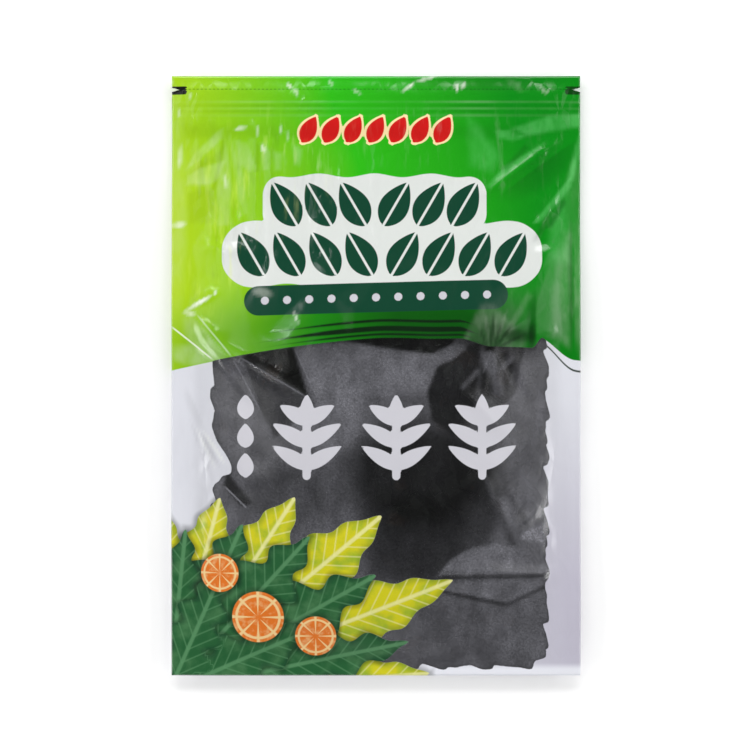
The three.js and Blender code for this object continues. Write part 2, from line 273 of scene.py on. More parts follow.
class WakameSettings(PropertyGroup):
    """Sizes and colours of the dried flakes."""

    flake_length: length_property("Flake Length", "Middling length of a flake", 13)
    flake_width: length_property("Flake Width", "Middling width of a flake", 6.5)
    flake_thickness: length_property("Flake Thickness", "Thickness of a flake", 0.45)
    flake_spacing: length_property("Flake Spacing", "Least distance between flakes' middles", 3.4)
    crumple: length_property("Flake Crumple", "How far flakes are bent and ragged", 3.2)
    seed: IntProperty(name="Seed", description="Picks the scatter of the flakes", default=7, min=0)
    blade: colour_property("Blade", "Dry blade", (44, 52, 44))
    stem: colour_property("Stem", "Dry midrib pieces", (74, 56, 36))


class StageSettings(PropertyGroup):
    """Floor and light."""

    floor: colour_property("Floor", "Floor colour", (250, 250, 250))
    world: FloatProperty(
        name="Surrounding Light", description="Strength of the even light", default=0.1, min=0
    )
    key: FloatProperty(
        name="Key Light", description="Power of the main lights, in watts", default=21.3, min=0
    )


class PouchSettings(PropertyGroup):
    """All settings of the pouch."""

    sizes: PointerProperty(type=PouchSizes)
    inks: PointerProperty(type=PrintInks)
    wakame: PointerProperty(type=WakameSettings)
    stage: PointerProperty(type=StageSettings)


def settings():
    return bpy.context.scene.wakame_pouch


# Shape of the films

def smoothstep(value, low, high):
    share = np.clip((value - low) / (high - low), 0, 1)
    return share * share * (3 - 2 * share)


def lerp(low, high, share):
    return low + (high - low) * share


def line_places(x, y, start, end):
    """Distance along a line from its start, and across it to its left, with the line's length."""
    length = math.dist(start, end)
    east, north = (end[0] - start[0]) / length, (end[1] - start[1]) / length
    along = (x - start[0]) * east + (y - start[1]) * north
    across = (y - start[1]) * east - (x - start[0]) * north
    return along, across, length


def fold_height(x, y, fold):
    along, across, length = line_places(x, y, fold.start, fold.end)
    beyond = np.maximum(0, np.maximum(-along, along - length))
    near = np.maximum(0, 1 - np.hypot(across, beyond) / fold.width)
    return fold.height * near**2


def crease_height(x, y, crease):
    along, across, length = line_places(x, y, crease.start, crease.end)
    run = np.where(across > 0, crease.left, crease.right)
    side = np.maximum(0, 1 - np.abs(across) / run) ** CREASE_SHARPNESS
    end = CREASE_END_SHARE * length
    return crease.height * side * smoothstep(along, 0, end) * (1 - smoothstep(along, length - end, length))


def facet_height(x, y, zone, random):
    """Roofs over the cells round scattered middles, raised or sunk by a random slope."""
    spans = np.array([zone.across, zone.along], float)
    cells = (spans[:, 1] - spans[:, 0]) / zone.facet
    middles = random.uniform(0, 1, (int(cells.prod()), 2)) * cells
    slopes = random.uniform(-zone.slope, zone.slope, len(middles)) * min(zone.facet)
    inside = (x > spans[0, 0]) & (x < spans[0, 1]) & (y > spans[1, 0]) & (y < spans[1, 1])
    places = (np.stack([x[inside], y[inside]], axis=-1) - spans[:, 0]) / zone.facet
    away = ((places[:, None] - middles) ** 2).sum(axis=-1)
    nearest = away.argmin(axis=1)
    apart = np.hypot(*(middles[:, None] - middles).transpose(2, 0, 1))[nearest]
    to_edge = (away - away.min(axis=1)[:, None]) / (2 * np.maximum(apart, TINY))
    to_edge[np.arange(len(nearest)), nearest] = np.inf
    height = np.zeros_like(x)
    edges = np.minimum(x - spans[0, 0], spans[0, 1] - x), np.minimum(y - spans[1, 0], spans[1, 1] - y)
    ease = smoothstep(np.minimum(*edges), 0, FACET_EASE)[inside]
    height[inside] = to_edge.min(axis=1) * slopes[nearest] * ease
    return height


def lumps(x, y):
    """Low swells where the fill presses on the film."""
    random = np.random.default_rng(LUMP_SEED)
    height = np.zeros_like(x)
    for _ in range(LUMP_WAVES):
        turn, phase = random.uniform(0, math.pi), random.uniform(0, 2 * math.pi)
        rate = 2 * math.pi / random.uniform(*LUMP_LENGTHS)
        height += LUMP_HEIGHT * np.sin(rate * (x * math.cos(turn) + y * math.sin(turn)) + phase)
    return height


class FilmShape:
    """Levels of the two films over the resting surface, at arrays of places."""

    def __init__(self, sizes):
        self.film = sizes.film / MM
        self.gap = sizes.seal_gap / MM
        self.inner_half = HALF_WIDTH - sizes.side_seal / MM
        self.inner_bottom = -HALF_HEIGHT + sizes.bottom_seal / MM
        self.inner_top = HALF_HEIGHT - sizes.top_seal / MM
        self.front_bulge = sizes.front_bulge / MM
        self.back_bulge = sizes.back_bulge / MM
        self.crumple_share = sizes.crumple

    def mid_level(self, y):
        return lerp(BODY_LEVEL, HEADER_LEVEL, smoothstep(y, HEADER_FROM, HEADER_TO))

    def swell(self, x, y):
        def dome(share):
            full = (1 - np.clip(share, 0, 1) ** SWELL_POWER) ** SWELL_SHOULDER
            return (np.hypot(full, SEAL_EASE) - SEAL_EASE) / (math.hypot(1, SEAL_EASE) - SEAL_EASE)

        across = dome(np.abs(x) / self.inner_half)
        below = dome((FULLEST_Y - y) / (FULLEST_Y - self.inner_bottom))
        slack = lerp(1, SLACK_SHARE, smoothstep(y, FULLEST_Y, SLACK_Y))
        above = slack * (1 - smoothstep(y, SLACK_Y, self.inner_top))
        return across * np.where(y < FULLEST_Y, below, above)

    def zip_band(self, x, y):
        """1 over the zip, easing to 0 round it."""
        beside = smoothstep(np.abs(x), self.inner_half - SHOULDER, HALF_WIDTH)
        away = smoothstep(np.abs(y - ZIP_Y), ZIP_ROOM_HALF, ZIP_ROOM_HALF + ZIP_ROOM_EASE)
        return (1 - beside) * (1 - away)

    def sway(self, x, y):
        wave = np.zeros_like(x)
        for share, rate, phase in SWAY_WAVES:
            wave += share * np.sin(y / SWAY_LENGTH * rate + phase * np.sign(x))
        edge = smoothstep(np.abs(x), SWAY_FROM, HALF_WIDTH)
        return SWAY_HEIGHT * wave * edge * (1 - self.zip_band(x, y))

    def calm(self, x, y):
        """1 where the film is free to crease, easing to 0 on the seals."""
        sides = np.clip((self.inner_half - np.abs(x)) / CALM_EDGE, 0, 1)
        bottom = np.clip((y - self.inner_bottom) / CALM_EDGE, 0, 1)
        return sides * bottom

    def crumple(self, x, y):
        height = lumps(x, y) * self.swell(x, y)
        height += sum(crease_height(x, y, crease) for crease in CREASES)
        random = np.random.default_rng(FACET_SEED)
        height += sum(facet_height(x, y, zone, random) for zone in FACET_ZONES)
        return self.crumple_share * height * self.calm(x, y)

    def zip_relief(self, x, y):
        relief = np.zeros_like(x)
        for offset, height, width in ZIP_RIDGES:
            relief += height * np.exp(-(((y - ZIP_Y - offset) / width) ** 2))
        groove, width = TEAR_GROOVE
        relief += groove * np.exp(-(((y - TEAR_Y) / width) ** 2))
        begin, end, least, most = ZIP_SLACK
        relief *= lerp(least, most, smoothstep(x, begin, end))
        return relief * (1 - smoothstep(np.abs(x), self.inner_half - SHOULDER, self.inner_half))

    def front_inner(self, x, y):
        """Underside of the front film, with its folds and creases."""
        folds = sum(fold_height(x, y, fold) for fold in FOLDS)
        folds *= np.clip((self.inner_half - np.abs(x)) / FOLD_FADE, 0, 1)
        smooth = self.mid_level(y) + self.gap / 2 + self.front_bulge * self.swell(x, y)
        raised = ZIP_ROOM * self.zip_band(x, y) + self.zip_relief(x, y)
        return smooth + raised + folds + self.crumple(x, y) + self.sway(x, y)

    def back_outer(self, x, y):
        """Underside of the back film, flat where it rests."""
        free = self.mid_level(y) - self.gap / 2 - self.film - self.back_bulge * self.swell(x, y)
        return np.maximum(0, free - ZIP_ROOM * self.zip_band(x, y) + self.sway(x, y))


# Meshes

def new_piece(name, mesh, materials):
    piece = bpy.data.objects.new(name, mesh)
    bpy.context.scene.collection.objects.link(piece)
    for material in materials:
        mesh.materials.append(material)
    return piece


def hand_over(piece, node):
    """Sets a finished piece in the place of a solid."""
    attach(piece, "root")
    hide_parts(node)


def film_places(columns, rows):
    """Grid of places over a film, with rows on the tear notches, whose ends are pulled in."""
    xs = np.linspace(-HALF_WIDTH, HALF_WIDTH, columns + 1)
    notch = TEAR_Y + NOTCH_MOUTH / 2 * np.array([-1, 0, 1])
    ys = np.linspace(-HALF_HEIGHT, HALF_HEIGHT, rows + 1)
    clear = np.abs(ys[:, None] - notch).min(axis=1) > NOTCH_MOUTH / 4
    x, y = np.meshgrid(xs, np.sort([*ys[clear], *notch]))
    opened = np.clip(1 - np.abs(y - TEAR_Y) / (NOTCH_MOUTH / 2), 0, 1)
    reach = np.clip((np.abs(x) - HALF_WIDTH + NOTCH_EASE) / NOTCH_EASE, 0, 1)
    return x - np.sign(x) * NOTCH_DEPTH * opened * reach, y


def sheet_mesh(name, x, y, upper, lower, lower_material=0, upper_material=0):
    """A closed sheet between two levels over a grid of places, with a material for each face."""
    rows, columns = x.shape
    layer = rows * columns
    points = np.concatenate([np.stack([x, y, level], axis=-1).reshape(-1, 3) for level in (upper, lower)])
    index = np.arange(layer).reshape(rows, columns)
    corners = (index[:-1, :-1], index[:-1, 1:], index[1:, 1:], index[1:, :-1])
    top = np.stack(corners, axis=-1).reshape(-1, 4)
    bottom = top[:, ::-1] + layer
    rim = np.concatenate([index[0, :-1], index[:-1, -1], index[-1, :0:-1], index[:0:-1, 0]])
    after = np.roll(rim, -1)
    edge = np.stack([rim, rim + layer, after + layer, after], axis=-1)
    mesh = bpy.data.meshes.new(name)
    mesh.from_pydata((points * MM).tolist(), [], np.concatenate([top, bottom, edge]).tolist())
    kinds = [upper_material] * len(top) + [lower_material] * len(bottom) + [0] * len(edge)
    mesh.polygons.foreach_set("material_index", kinds)
    mesh.polygons.foreach_set("use_smooth", [True] * (2 * len(top)) + [False] * len(edge))
    mesh.update()
    return mesh


def store(mesh, name, values):
    """Keeps one value for each place of a sheet, on both its faces."""
    attribute = mesh.attributes.new(name, "FLOAT", "POINT")
    attribute.data.foreach_set("value", np.tile(values.ravel(), 2).astype(np.float32))


# Print: each measure is in millimetres, above 0 inside the motif

class Bar(NamedTuple):
    """A bar with rounded corners and waved long edges."""

    centre: tuple
    half_width: float
    half_height: float
    radius: float
    tilt: float = 0
    wave: float = 0
    wave_length: float = 1


class Leaf(NamedTuple):
    """A leaf from its base, with a waved edge."""

    base: tuple
    heading: float
    length: float
    half_width: float
    waves: float = 0
    wave_depth: float = 0


# Lower edge of the green field: an arc, highest to the right of the middle
FIELD_TOP = 14.6
FIELD_BEND = 0.00106
FIELD_MIDDLE = 35
# Where the edge sags under its folds and drops at its right end: from, to and by how much
FIELD_DROPS = ((-2, 24, 1.4), (30, 42, 2.9), (57, 61, -4.3), (59, 73, 7.5))

# Plaque with its garland, whose rows have a middle, a count and a spacing
PLAQUE = (
    Bar((-0.5, 62.8), 41, 10.6, 8, 0, 0.7, 20.5),
    Bar((2.2, 44.4), 58.6, 11.6, 9, 0, 0.7, 23),
)
GARLAND_ROWS = ((-0.5, 62.8, 6, 12.6), (2.2, 44.4, 8, 13.2))
GARLAND_LENGTH = 18.5
GARLAND_HALF_WIDTH = 5.4
GARLAND_HEADING = 60
GARLAND_PARTING = 1.4
GARLAND_RIB_REACH = 1

# The bar under the plaque with its dots, the row of red leaves with its outline, and the tear marks
PILL = Bar((0, 28.4), 48.2, 5.4, 5.4, 1.6)
PILL_DOTS = 11
PILL_DOT_SPACING = 8.1
PILL_DOT_RADIUS = 1.5
RED_LEAVES = 7
RED_LEAF_SPACING = 8.2
RED_LEAF_Y = 90.2
RED_LEAF_LENGTH = 10.6
RED_LEAF_HALF_WIDTH = 3
RED_LEAF_HEADING = 62
CREAM_LINE = 0.9
TEAR_MARK = Bar((HALF_WIDTH, 104.7), 5.6, 1.5, 0.6)
# Painted shade and painted highlight lines over the zip: level, half width and strength
ZIP_SHADE_LINES = ((99, 0.45, 0.22), (96.9, 0.4, 0.24))
ZIP_HIGHLIGHT_LINES = ((100.4, 0.4, 0.09), (98, 0.4, 0.06), (95.4, 0.5, 0.05))
# From where to where the film is slack over the zip, and the share of the zip that shows there
ZIP_SLACK = (-60, -36, 0.3, 1)
TEAR_LINE_Y = 105.1
TEAR_DASH_RATE = 4.2

WINDOW = Bar((1.4, -45), 61.2, 62, 8)
# How far the window runs up under the field's edge
WINDOW_LAP = 0.3
# Depth, length and phase of the scallops along the window's edge
WINDOW_SCALLOPS = ((0.8, 14.5, 0.4), (0.55, 8.3, 1.9), (0.2, 4.7, 0.7))
SCALLOP_MEAN = 2 / math.pi
# Where the window's left edge is folded in: its level, reach up and down, and depth
WINDOW_DENT = (-32.5, 14, 10, 7.3)
# How far to the left of the middle the fold begins to pull, and where it pulls fully
WINDOW_DENT_ACROSS = (20, 50)

# Sprigs in the window: level and length of each pair of leaves, and the column of drops beside them
SPRIG_CENTRES = ((-25, -22.2), (7.3, -22.2), (38.4, -22.2))
SPRIG_HALF_HEIGHT = 15.5
SPRIG_STEM = 1.5
SPRIG_STEM_DROP = 3
SPRIG_LEAVES = ((-10.5, 14.5), (-2.4, 14.5), (5.7, 11.5))
SPRIG_ROOT = 2
SPRIG_LEAF_HALF_WIDTH = 2.7
SPRIG_LEAF_HEADING = 30
SPRIG_TIP = 12
DROPS = ((-47.4, -15.8), (-47.4, -26.4), (-47.4, -37))
DROP_LENGTH = 9
DROP_HALF_WIDTH = 3.1


class LeafLayer(NamedTuple):
    """A layer of the picture: its ink, its waved edge, and each leaf's heading, length and half width."""

    ink: str
    waves: float
    wave_depth: float
    leaves: tuple


# The picture at the lower left: a fan of leaves from one root, and slices with their middles and radii
PICTURE_ROOT = (-76, -116)
PICTURE_LAYERS = {
    "yellow_back": LeafLayer("yellow", 8, 0.13, ((4, 96, 12), (40, 102, 16), (75, 74, 14))),
    "yellow_front": LeafLayer("yellow", 8, 0.13, ((22, 112, 15), (57, 86, 15), (91, 66, 12))),
    "frond_back": LeafLayer("frond", 6, 0.32, ((-4, 72, 9), (30, 88, 13), (66, 68, 12))),
    "frond_front": LeafLayer("frond", 6, 0.32, ((12, 90, 11), (48, 78, 13), (84, 60, 9))),
    "frond_top": LeafLayer("frond", 5, 0.3, ((24, 62, 9), (66, 50, 9))),
}
SLICES = ((-43, -88, 9.5), (-22, -95, 7.5), (-57, -72, 7))
FAR = 1000
# Outline of every leaf: how far it leans to its base, how full it is and the lag between its waved sides
LEAF_LEAN = 0.8
LEAF_FULLNESS = 0.8
LEAF_WAVE_LAG = 0.9


def bar_inside(x, y, bar):
    turn = math.radians(bar.tilt)
    east = (x - bar.centre[0]) * math.cos(turn) + (y - bar.centre[1]) * math.sin(turn)
    north = (y - bar.centre[1]) * math.cos(turn) - (x - bar.centre[0]) * math.sin(turn)
    high = bar.half_height + bar.wave * np.cos(2 * math.pi * east / bar.wave_length)
    beyond_x = np.abs(east) - bar.half_width + bar.radius
    beyond_y = np.abs(north) - high + bar.radius
    outside = np.hypot(np.maximum(beyond_x, 0), np.maximum(beyond_y, 0))
    return bar.radius - outside - np.minimum(np.maximum(beyond_x, beyond_y), 0)


def leaf_inside(x, y, leaf):
    """How far inside a leaf each place is, with its distances to the left of its midrib and along it."""
    turn = math.radians(leaf.heading)
    tip = (leaf.base[0] + leaf.length * math.cos(turn), leaf.base[1] + leaf.length * math.sin(turn))
    along, across, length = line_places(x, y, leaf.base, tip)
    share = np.clip(along / length, 0, 1)
    wide = leaf.half_width * np.sin(math.pi * share**LEAF_LEAN) ** LEAF_FULLNESS
    phase = LEAF_WAVE_LAG * np.sign(across)
    wide *= 1 + leaf.wave_depth * np.sin(2 * math.pi * leaf.waves * share + phase)
    return np.minimum(wide - np.abs(across), np.minimum(along, length - along)), across, along


class LeafPrint(NamedTuple):
    """Measures of several leaves, the later ones lying on the earlier."""

    inside: np.ndarray
    rib: np.ndarray
    along: np.ndarray


def leaves_inside(x, y, leaves):
    inside = np.full_like(x, -FAR)
    rib = np.full_like(x, FAR)
    along = np.zeros_like(x)
    for leaf in leaves:
        this_inside, this_rib, this_along = leaf_inside(x, y, leaf)
        nearer = this_inside > np.minimum(inside, 0)
        rib = np.where(nearer, this_rib, rib)
        along = np.where(nearer, this_along, along)
        inside = np.maximum(inside, this_inside)
    return LeafPrint(inside, rib, along)


def row_middle(index, count, spacing):
    return (index - (count - 1) / 2) * spacing


def centred_leaf(x, y, heading, length, half_width):
    """A leaf placed by its middle."""
    turn = math.radians(heading)
    base = (x - length / 2 * math.cos(turn), y - length / 2 * math.sin(turn))
    return Leaf(base, heading, length, half_width)


def garland_leaves():
    leaves = []
    for middle_x, middle_y, count, spacing in GARLAND_ROWS:
        for index in range(count):
            side = 1 if index >= count / 2 else -1
            heading = 90 - side * (90 - GARLAND_HEADING)
            x = middle_x + row_middle(index, count, spacing) + side * GARLAND_PARTING
            leaves.append(centred_leaf(x, middle_y, heading, GARLAND_LENGTH, GARLAND_HALF_WIDTH))
    return leaves


def red_leaves():
    leaves = []
    for index in range(RED_LEAVES):
        x = row_middle(index, RED_LEAVES, RED_LEAF_SPACING)
        leaf = centred_leaf(x, RED_LEAF_Y, RED_LEAF_HEADING, RED_LEAF_LENGTH, RED_LEAF_HALF_WIDTH)
        leaves.append(leaf)
    return leaves


def sprig_leaves(centre):
    """Leaves of one light sprig in the window, in pairs up its stem, with one at its tip."""
    x, y = centre
    leaves = [Leaf((x, y + SPRIG_HALF_HEIGHT - SPRIG_TIP), 90, SPRIG_TIP, SPRIG_LEAF_HALF_WIDTH)]
    for level, reach in SPRIG_LEAVES:
        for heading in (SPRIG_LEAF_HEADING, 180 - SPRIG_LEAF_HEADING):
            turn = math.radians(heading)
            base = (x - SPRIG_ROOT * math.cos(turn), y + level - SPRIG_ROOT * math.sin(turn))
            leaves.append(Leaf(base, heading, reach + SPRIG_ROOT, SPRIG_LEAF_HALF_WIDTH))
    return leaves


def light_motifs(x, y):
    """Sprigs and drops in the window, and dots on the pill."""
    leaves = [leaf for centre in SPRIG_CENTRES for leaf in sprig_leaves(centre)]
    leaves += [Leaf(base, 90, DROP_LENGTH, DROP_HALF_WIDTH) for base in DROPS]
    inside = leaves_inside(x, y, leaves).inside
    stem_half = SPRIG_HALF_HEIGHT - SPRIG_STEM_DROP
    for centre_x, centre_y in SPRIG_CENTRES:
        stem = Bar((centre_x, centre_y - SPRIG_STEM_DROP), SPRIG_STEM, stem_half, SPRIG_STEM)
        inside = np.maximum(inside, bar_inside(x, y, stem))
    for index in range(PILL_DOTS):
        dot_x = row_middle(index, PILL_DOTS, PILL_DOT_SPACING)
        dot_y = PILL.centre[1] + dot_x * math.tan(math.radians(PILL.tilt))
        inside = np.maximum(inside, PILL_DOT_RADIUS - np.hypot(x - dot_x, y - dot_y))
    return inside


def field_height(x, y):
    """Height over the lower edge of the green field, an arc that sags and drops at the right."""
    drop = sum(depth * smoothstep(x, begin, end) for begin, end, depth in FIELD_DROPS)
    return y - FIELD_TOP + FIELD_BEND * (x - FIELD_MIDDLE) ** 2 + drop


def window_inside(x, y):
    dent_y, rise, fall, depth = WINDOW_DENT
    dent = smoothstep(y, dent_y - fall, dent_y) * (1 - smoothstep(y, dent_y, dent_y + rise))
    inside = bar_inside(x - depth * dent * smoothstep(-x, *WINDOW_DENT_ACROSS), y, WINDOW)
    for scallop_depth, length, phase in WINDOW_SCALLOPS:
        scallop = np.abs(np.sin(math.pi * (x + y) / length + phase))
        inside += 2 * scallop_depth * (scallop - SCALLOP_MEAN)
    return np.minimum(inside, WINDOW_LAP - field_height(x, y))


def picture_measures(x, y):
    measures = {}
    for name, layer in PICTURE_LAYERS.items():
        leaves = [Leaf(PICTURE_ROOT, *leaf, layer.waves, layer.wave_depth) for leaf in layer.leaves]
        inside, rib, along = leaves_inside(x, y, leaves)
        measures |= {name + "_ink": inside, name + "_rib": rib, name + "_along": along}
    return measures


def print_measures(x, y):
    """Every motif's measure by the name of its attribute."""
    garland = leaves_inside(x, y, garland_leaves())
    slice_x, slice_y, slice_in = np.full_like(x, FAR), np.full_like(x, FAR), np.full_like(x, -FAR)
    for centre_x, centre_y, radius in SLICES:
        inside = radius - np.hypot(x - centre_x, y - centre_y)
        slice_x = np.where(inside > slice_in, (x - centre_x) / radius, slice_x)
        slice_y = np.where(inside > slice_in, (y - centre_y) / radius, slice_y)
        slice_in = np.maximum(slice_in, inside)
    return {
        "field": field_height(x, y),
        "plaque": np.maximum(*(bar_inside(x, y, bar) for bar in PLAQUE)),
        "deep_ink": np.maximum(garland.inside, bar_inside(x, y, PILL)),
        "garland_rib": np.where(garland.inside > -GARLAND_RIB_REACH, garland.rib, FAR),
        "light_ink": light_motifs(x, y),
        "red_ink": leaves_inside(x, y, red_leaves()).inside,
        "tear_mark": bar_inside(np.abs(x), y, TEAR_MARK),
        "window": window_inside(x, y),
        "slice": slice_in,
        "slice_x": slice_x,
        "slice_y": slice_y,
        **picture_measures(x, y),
    }


# Painted sheen, shade and reflection of the bent film

class Facet(NamedTuple):
    """A flat facet of the film: its corners, anticlockwise, its strength and the softness of its edges."""

    corners: tuple
    strength: float
    soft: float = 0.8


# Dust haze inside the window, which also carries painted reflection, with the facets of painted reflection
# where it is thinner or thicker
BASE_HAZE = 0.5
REFLECTION_FACETS = (
    # Between the two lines at the upper left, and the darkest facet over them
    Facet(((-52.5, 6.4), (-41.9, -12.7), (-38, -24), (-22, -10), (-49.5, 6.6)), 0.2),
    Facet(((-49.5, 6.6), (-24, -8.2), (-30, 10.4), (-44, 9)), 0),
    Facet(((-30, 11), (-21.3, -8.4), (18, -7.2), (22.5, 5.7), (19.8, 13)), 0.68),
    # Painted shadow: a dark band under the field's edge
    Facet(
        ((-11.4, 12.6), (-4, 11), (8.8, 9), (19.8, 7.7), (23.5, 8.3),
         (27.5, 11), (29, 13.5), (20, 15), (-4, 15)), 0.02
    ),
    # Crumpled corner at the upper right
    Facet(((33, -15), (44, -13), (52, -5), (54, 12), (38, 13), (36, 0)), 0.2),
    Facet(((18.5, -6), (20, -16), (28, -22), (34, -18), (37, -2), (38, 12), (31, 10.5), (22, 3)), 0.06),
    Facet(((21.5, 3.6), (27, 5.4), (32.8, 9.7), (31.9, 11.4), (27.5, 10.9), (22, 8.8)), 0.5),
    Facet(((31.6, -5.2), (37.6, 1.2), (36.4, 2.4), (30.4, -4)), 0.36),
    Facet(((37.9, 8.3), (39.2, 3.6), (41.7, -0.4), (44.2, 0.7), (43.7, 8), (40.9, 8.9)), 0.56),
    Facet(((41.7, -0.4), (42.8, -6.8), (44.8, -7.6), (46.8, -7.4), (45.6, -3.2), (44.2, 0.7)), 0.42),
    Facet(((37.6, -8), (41.6, -8), (41.2, -1), (38.6, 2)), 0.06),
    Facet(((44.2, 3), (46, 5.4), (47.6, 8.2), (44, 8.2)), 0.04),
    Facet(((47.2, -6), (49.6, 1), (50.6, 5), (47, 3.6), (46.6, -2)), 0.06),
    Facet(((45.2, 2.6), (46, 2), (50.6, 6.4), (49.8, 7.4)), 0.5),
    Facet(((39.8, 8.9), (43.4, 8.9), (43.4, 10.9), (39.8, 10.9)), 0),
    Facet(((50, -10), (60, -9), (60, 2), (53, 4)), 0.5),
    # Fold at the lower left
    Facet(((-55.6, -40), (-49, -47.4), (-44.6, -46.4), (-54.2, -35)), 0.08),
    # The flap at the lower right: its upper half, slit, lower half and lower edge
    Facet(
        ((22.4, -72.2), (64, -72.2), (60.2, -65.9), (52.9, -62.6),
         (43.7, -60.8), (34.5, -62.6), (27.2, -66.3)), 0.74
    ),
    Facet(((24, -73.6), (64, -73.6), (64, -72.4), (24, -72.4)), 0.12),
    Facet(((23.5, -78), (47.4, -83.2), (64, -77), (64, -74.4), (22.4, -74.4)), 0.66),
    Facet(((23.5, -78.8), (47.4, -84.2), (47.6, -82.8), (23.5, -77.4)), 0.12),
    Facet(((47.4, -84.2), (63, -77.4), (63, -76), (47.6, -82.8)), 0.2),
    # Facets over the flap
    Facet(((38, -34), (47.7, -62), (51.1, -62), (41, -38)), 0.3),
    Facet(((44.2, -44.6), (50, -57.8), (51.6, -57.2), (46.4, -44)), 0.66),
    Facet(((44, -37.5), (55, -55.6), (56, -55), (45, -36.8)), 0.26),
    Facet(((51.1, -62), (63, -67), (63, -50)), 0.62),
    Facet(((52.2, -58.2), (52.9, -59.7), (61.5, -61.4), (61.2, -53.6)), 1.1),
)
# Spots with less or more haze: middle, radii and share of the haze, and how far a spot eases out
CLEAR_SPOTS = (
    ((16, -36), (34, 24), 0.1),
    ((14, -60), (23, 21), 0.22),
    ((36, -46), (12, 24), 0.45),
    ((-32, -44), (18, 12), 0.6),
    ((-14, -17), (16, 13), 1.5),
    ((42, 11), (18, 6), 0.5),
)
CLEAR_EASE = (0.5, 1.15)
# From where to where the haze changes towards the sides, and its share there
CLEAR_SIDES = (38, 52, 1.1)
# Painted shade: how far the haze is thinner under the field and along the window's edge, and its share there
HAZE_SHADE_TOP = (8, 0.66)
HAZE_SHADE_RIM = (1.4, 0.6)


class Veil(NamedTuple):
    """A painted streak over the bent film, light for sheen and dark for shade: its ends, its reach to the
    left and right, and its strength.
    """

    start: tuple
    end: tuple
    left: float
    right: float
    strength: float


# Painted sheen and painted glints over the bent film
SHEEN_VEILS = (
    # Upper left: streaks down from the zip, the slanted fold and the bright spots
    Veil((-74, 108), (-74, 10), 6, 3, 0.07),
    Veil((-72.7, 75), (-71.4, 86), 1.2, 1.2, 0.5),
    Veil((-52.2, 90.3), (-47, 91.3), 0.9, 1.2, 0.7),
    Veil((-44, 92.5), (-43.2, 87), 0.9, 0.7, 0.4),
    Veil((-42, 85.4), (-41, 81.4), 0.9, 0.9, 0.55),
    Veil((-35, 92.4), (-35.3, 88), 0.6, 0.6, 0.4),
    Veil((-33, 91), (-32, 85.4), 0.7, 0.7, 0.3),
    Veil((-56, 75), (-55, 67.5), 1.2, 0.8, 0.4),
    Veil((-76, 54.8), (-69, 55.8), 1.5, 1.5, 0.55),
    Veil((-68.6, 101), (-67.6, 104), 0.7, 0.7, 0.4),
    Veil((-72.8, 98.6), (-72, 94.4), 0.8, 0.8, 0.35),
    # Top strip
    Veil((-33, 107.8), (-30.5, 104.8), 0.9, 0.9, 0.6),
    Veil((-29.8, 105.8), (-28.6, 102), 1, 1, 0.65),
    Veil((-17.5, 109), (-15.5, 105.5), 0.8, 0.8, 0.4),
    Veil((-8.8, 105.4), (-5, 102.8), 0.8, 0.8, 0.4),
    Veil((9, 103.6), (14.5, 108), 0.8, 0.9, 0.9),
    Veil((13.5, 107.6), (23, 110.4), 0.8, 0.9, 0.9),
    Veil((29.2, 107.8), (30.2, 103.8), 0.9, 0.9, 0.7),
    Veil((32.4, 108.4), (31.6, 104.6), 0.8, 0.8, 0.6),
    Veil((47, 109.4), (54.5, 103.6), 2.2, 1.6, 0.06),
    Veil((60, 107), (62.6, 102.8), 0.8, 0.8, 0.4),
    Veil((63.6, 106), (62.4, 103), 0.7, 0.7, 0.35),
    # Down the right edge, and over the lower right of the field
    Veil((74, 84), (73, 46), 3, 5, 0.04),
    Veil((74, 60), (74, 4), 2, 1.6, 0.1),
    Veil((60, 36), (36, 14), 11, 9, 0.02),
    # Rays of the crumpled corner
    Veil((41.5, 11), (39.6, 24), 0.9, 0.8, 0.05),
    Veil((42.5, 11), (44.2, 23), 0.8, 0.8, 0.05),
    Veil((43, 11), (48.2, 25), 0.9, 0.9, 0.06),
    # The angled pair at the left
    Veil((-71.4, 22.8), (-59, 30), 0.9, 1.1, 0.85),
    Veil((-71, 23.6), (-65.5, 22.2), 1.1, 1.4, 0.65),
    Veil((-59.3, 29), (-58.2, 31.6), 0.7, 0.7, 0.6),
    Veil((-71, 25), (-52, 3), 1.2, 8, 0.17),
    Veil((-80, 9), (-56, 5), 5, 4, 0.14),
    Veil((-64, -19), (-54, -33.5), 0.8, 1, 0.4),
    Veil((-67, -17), (-57.5, -36), 0.8, 0.8, 0.3),
    # On the bar and under it
    Veil((-30.2, 24), (-27.8, 18), 0.6, 0.6, 0.4),
    Veil((-46, 31.4), (-36.5, 29), 2.4, 2.4, 0.2),
)
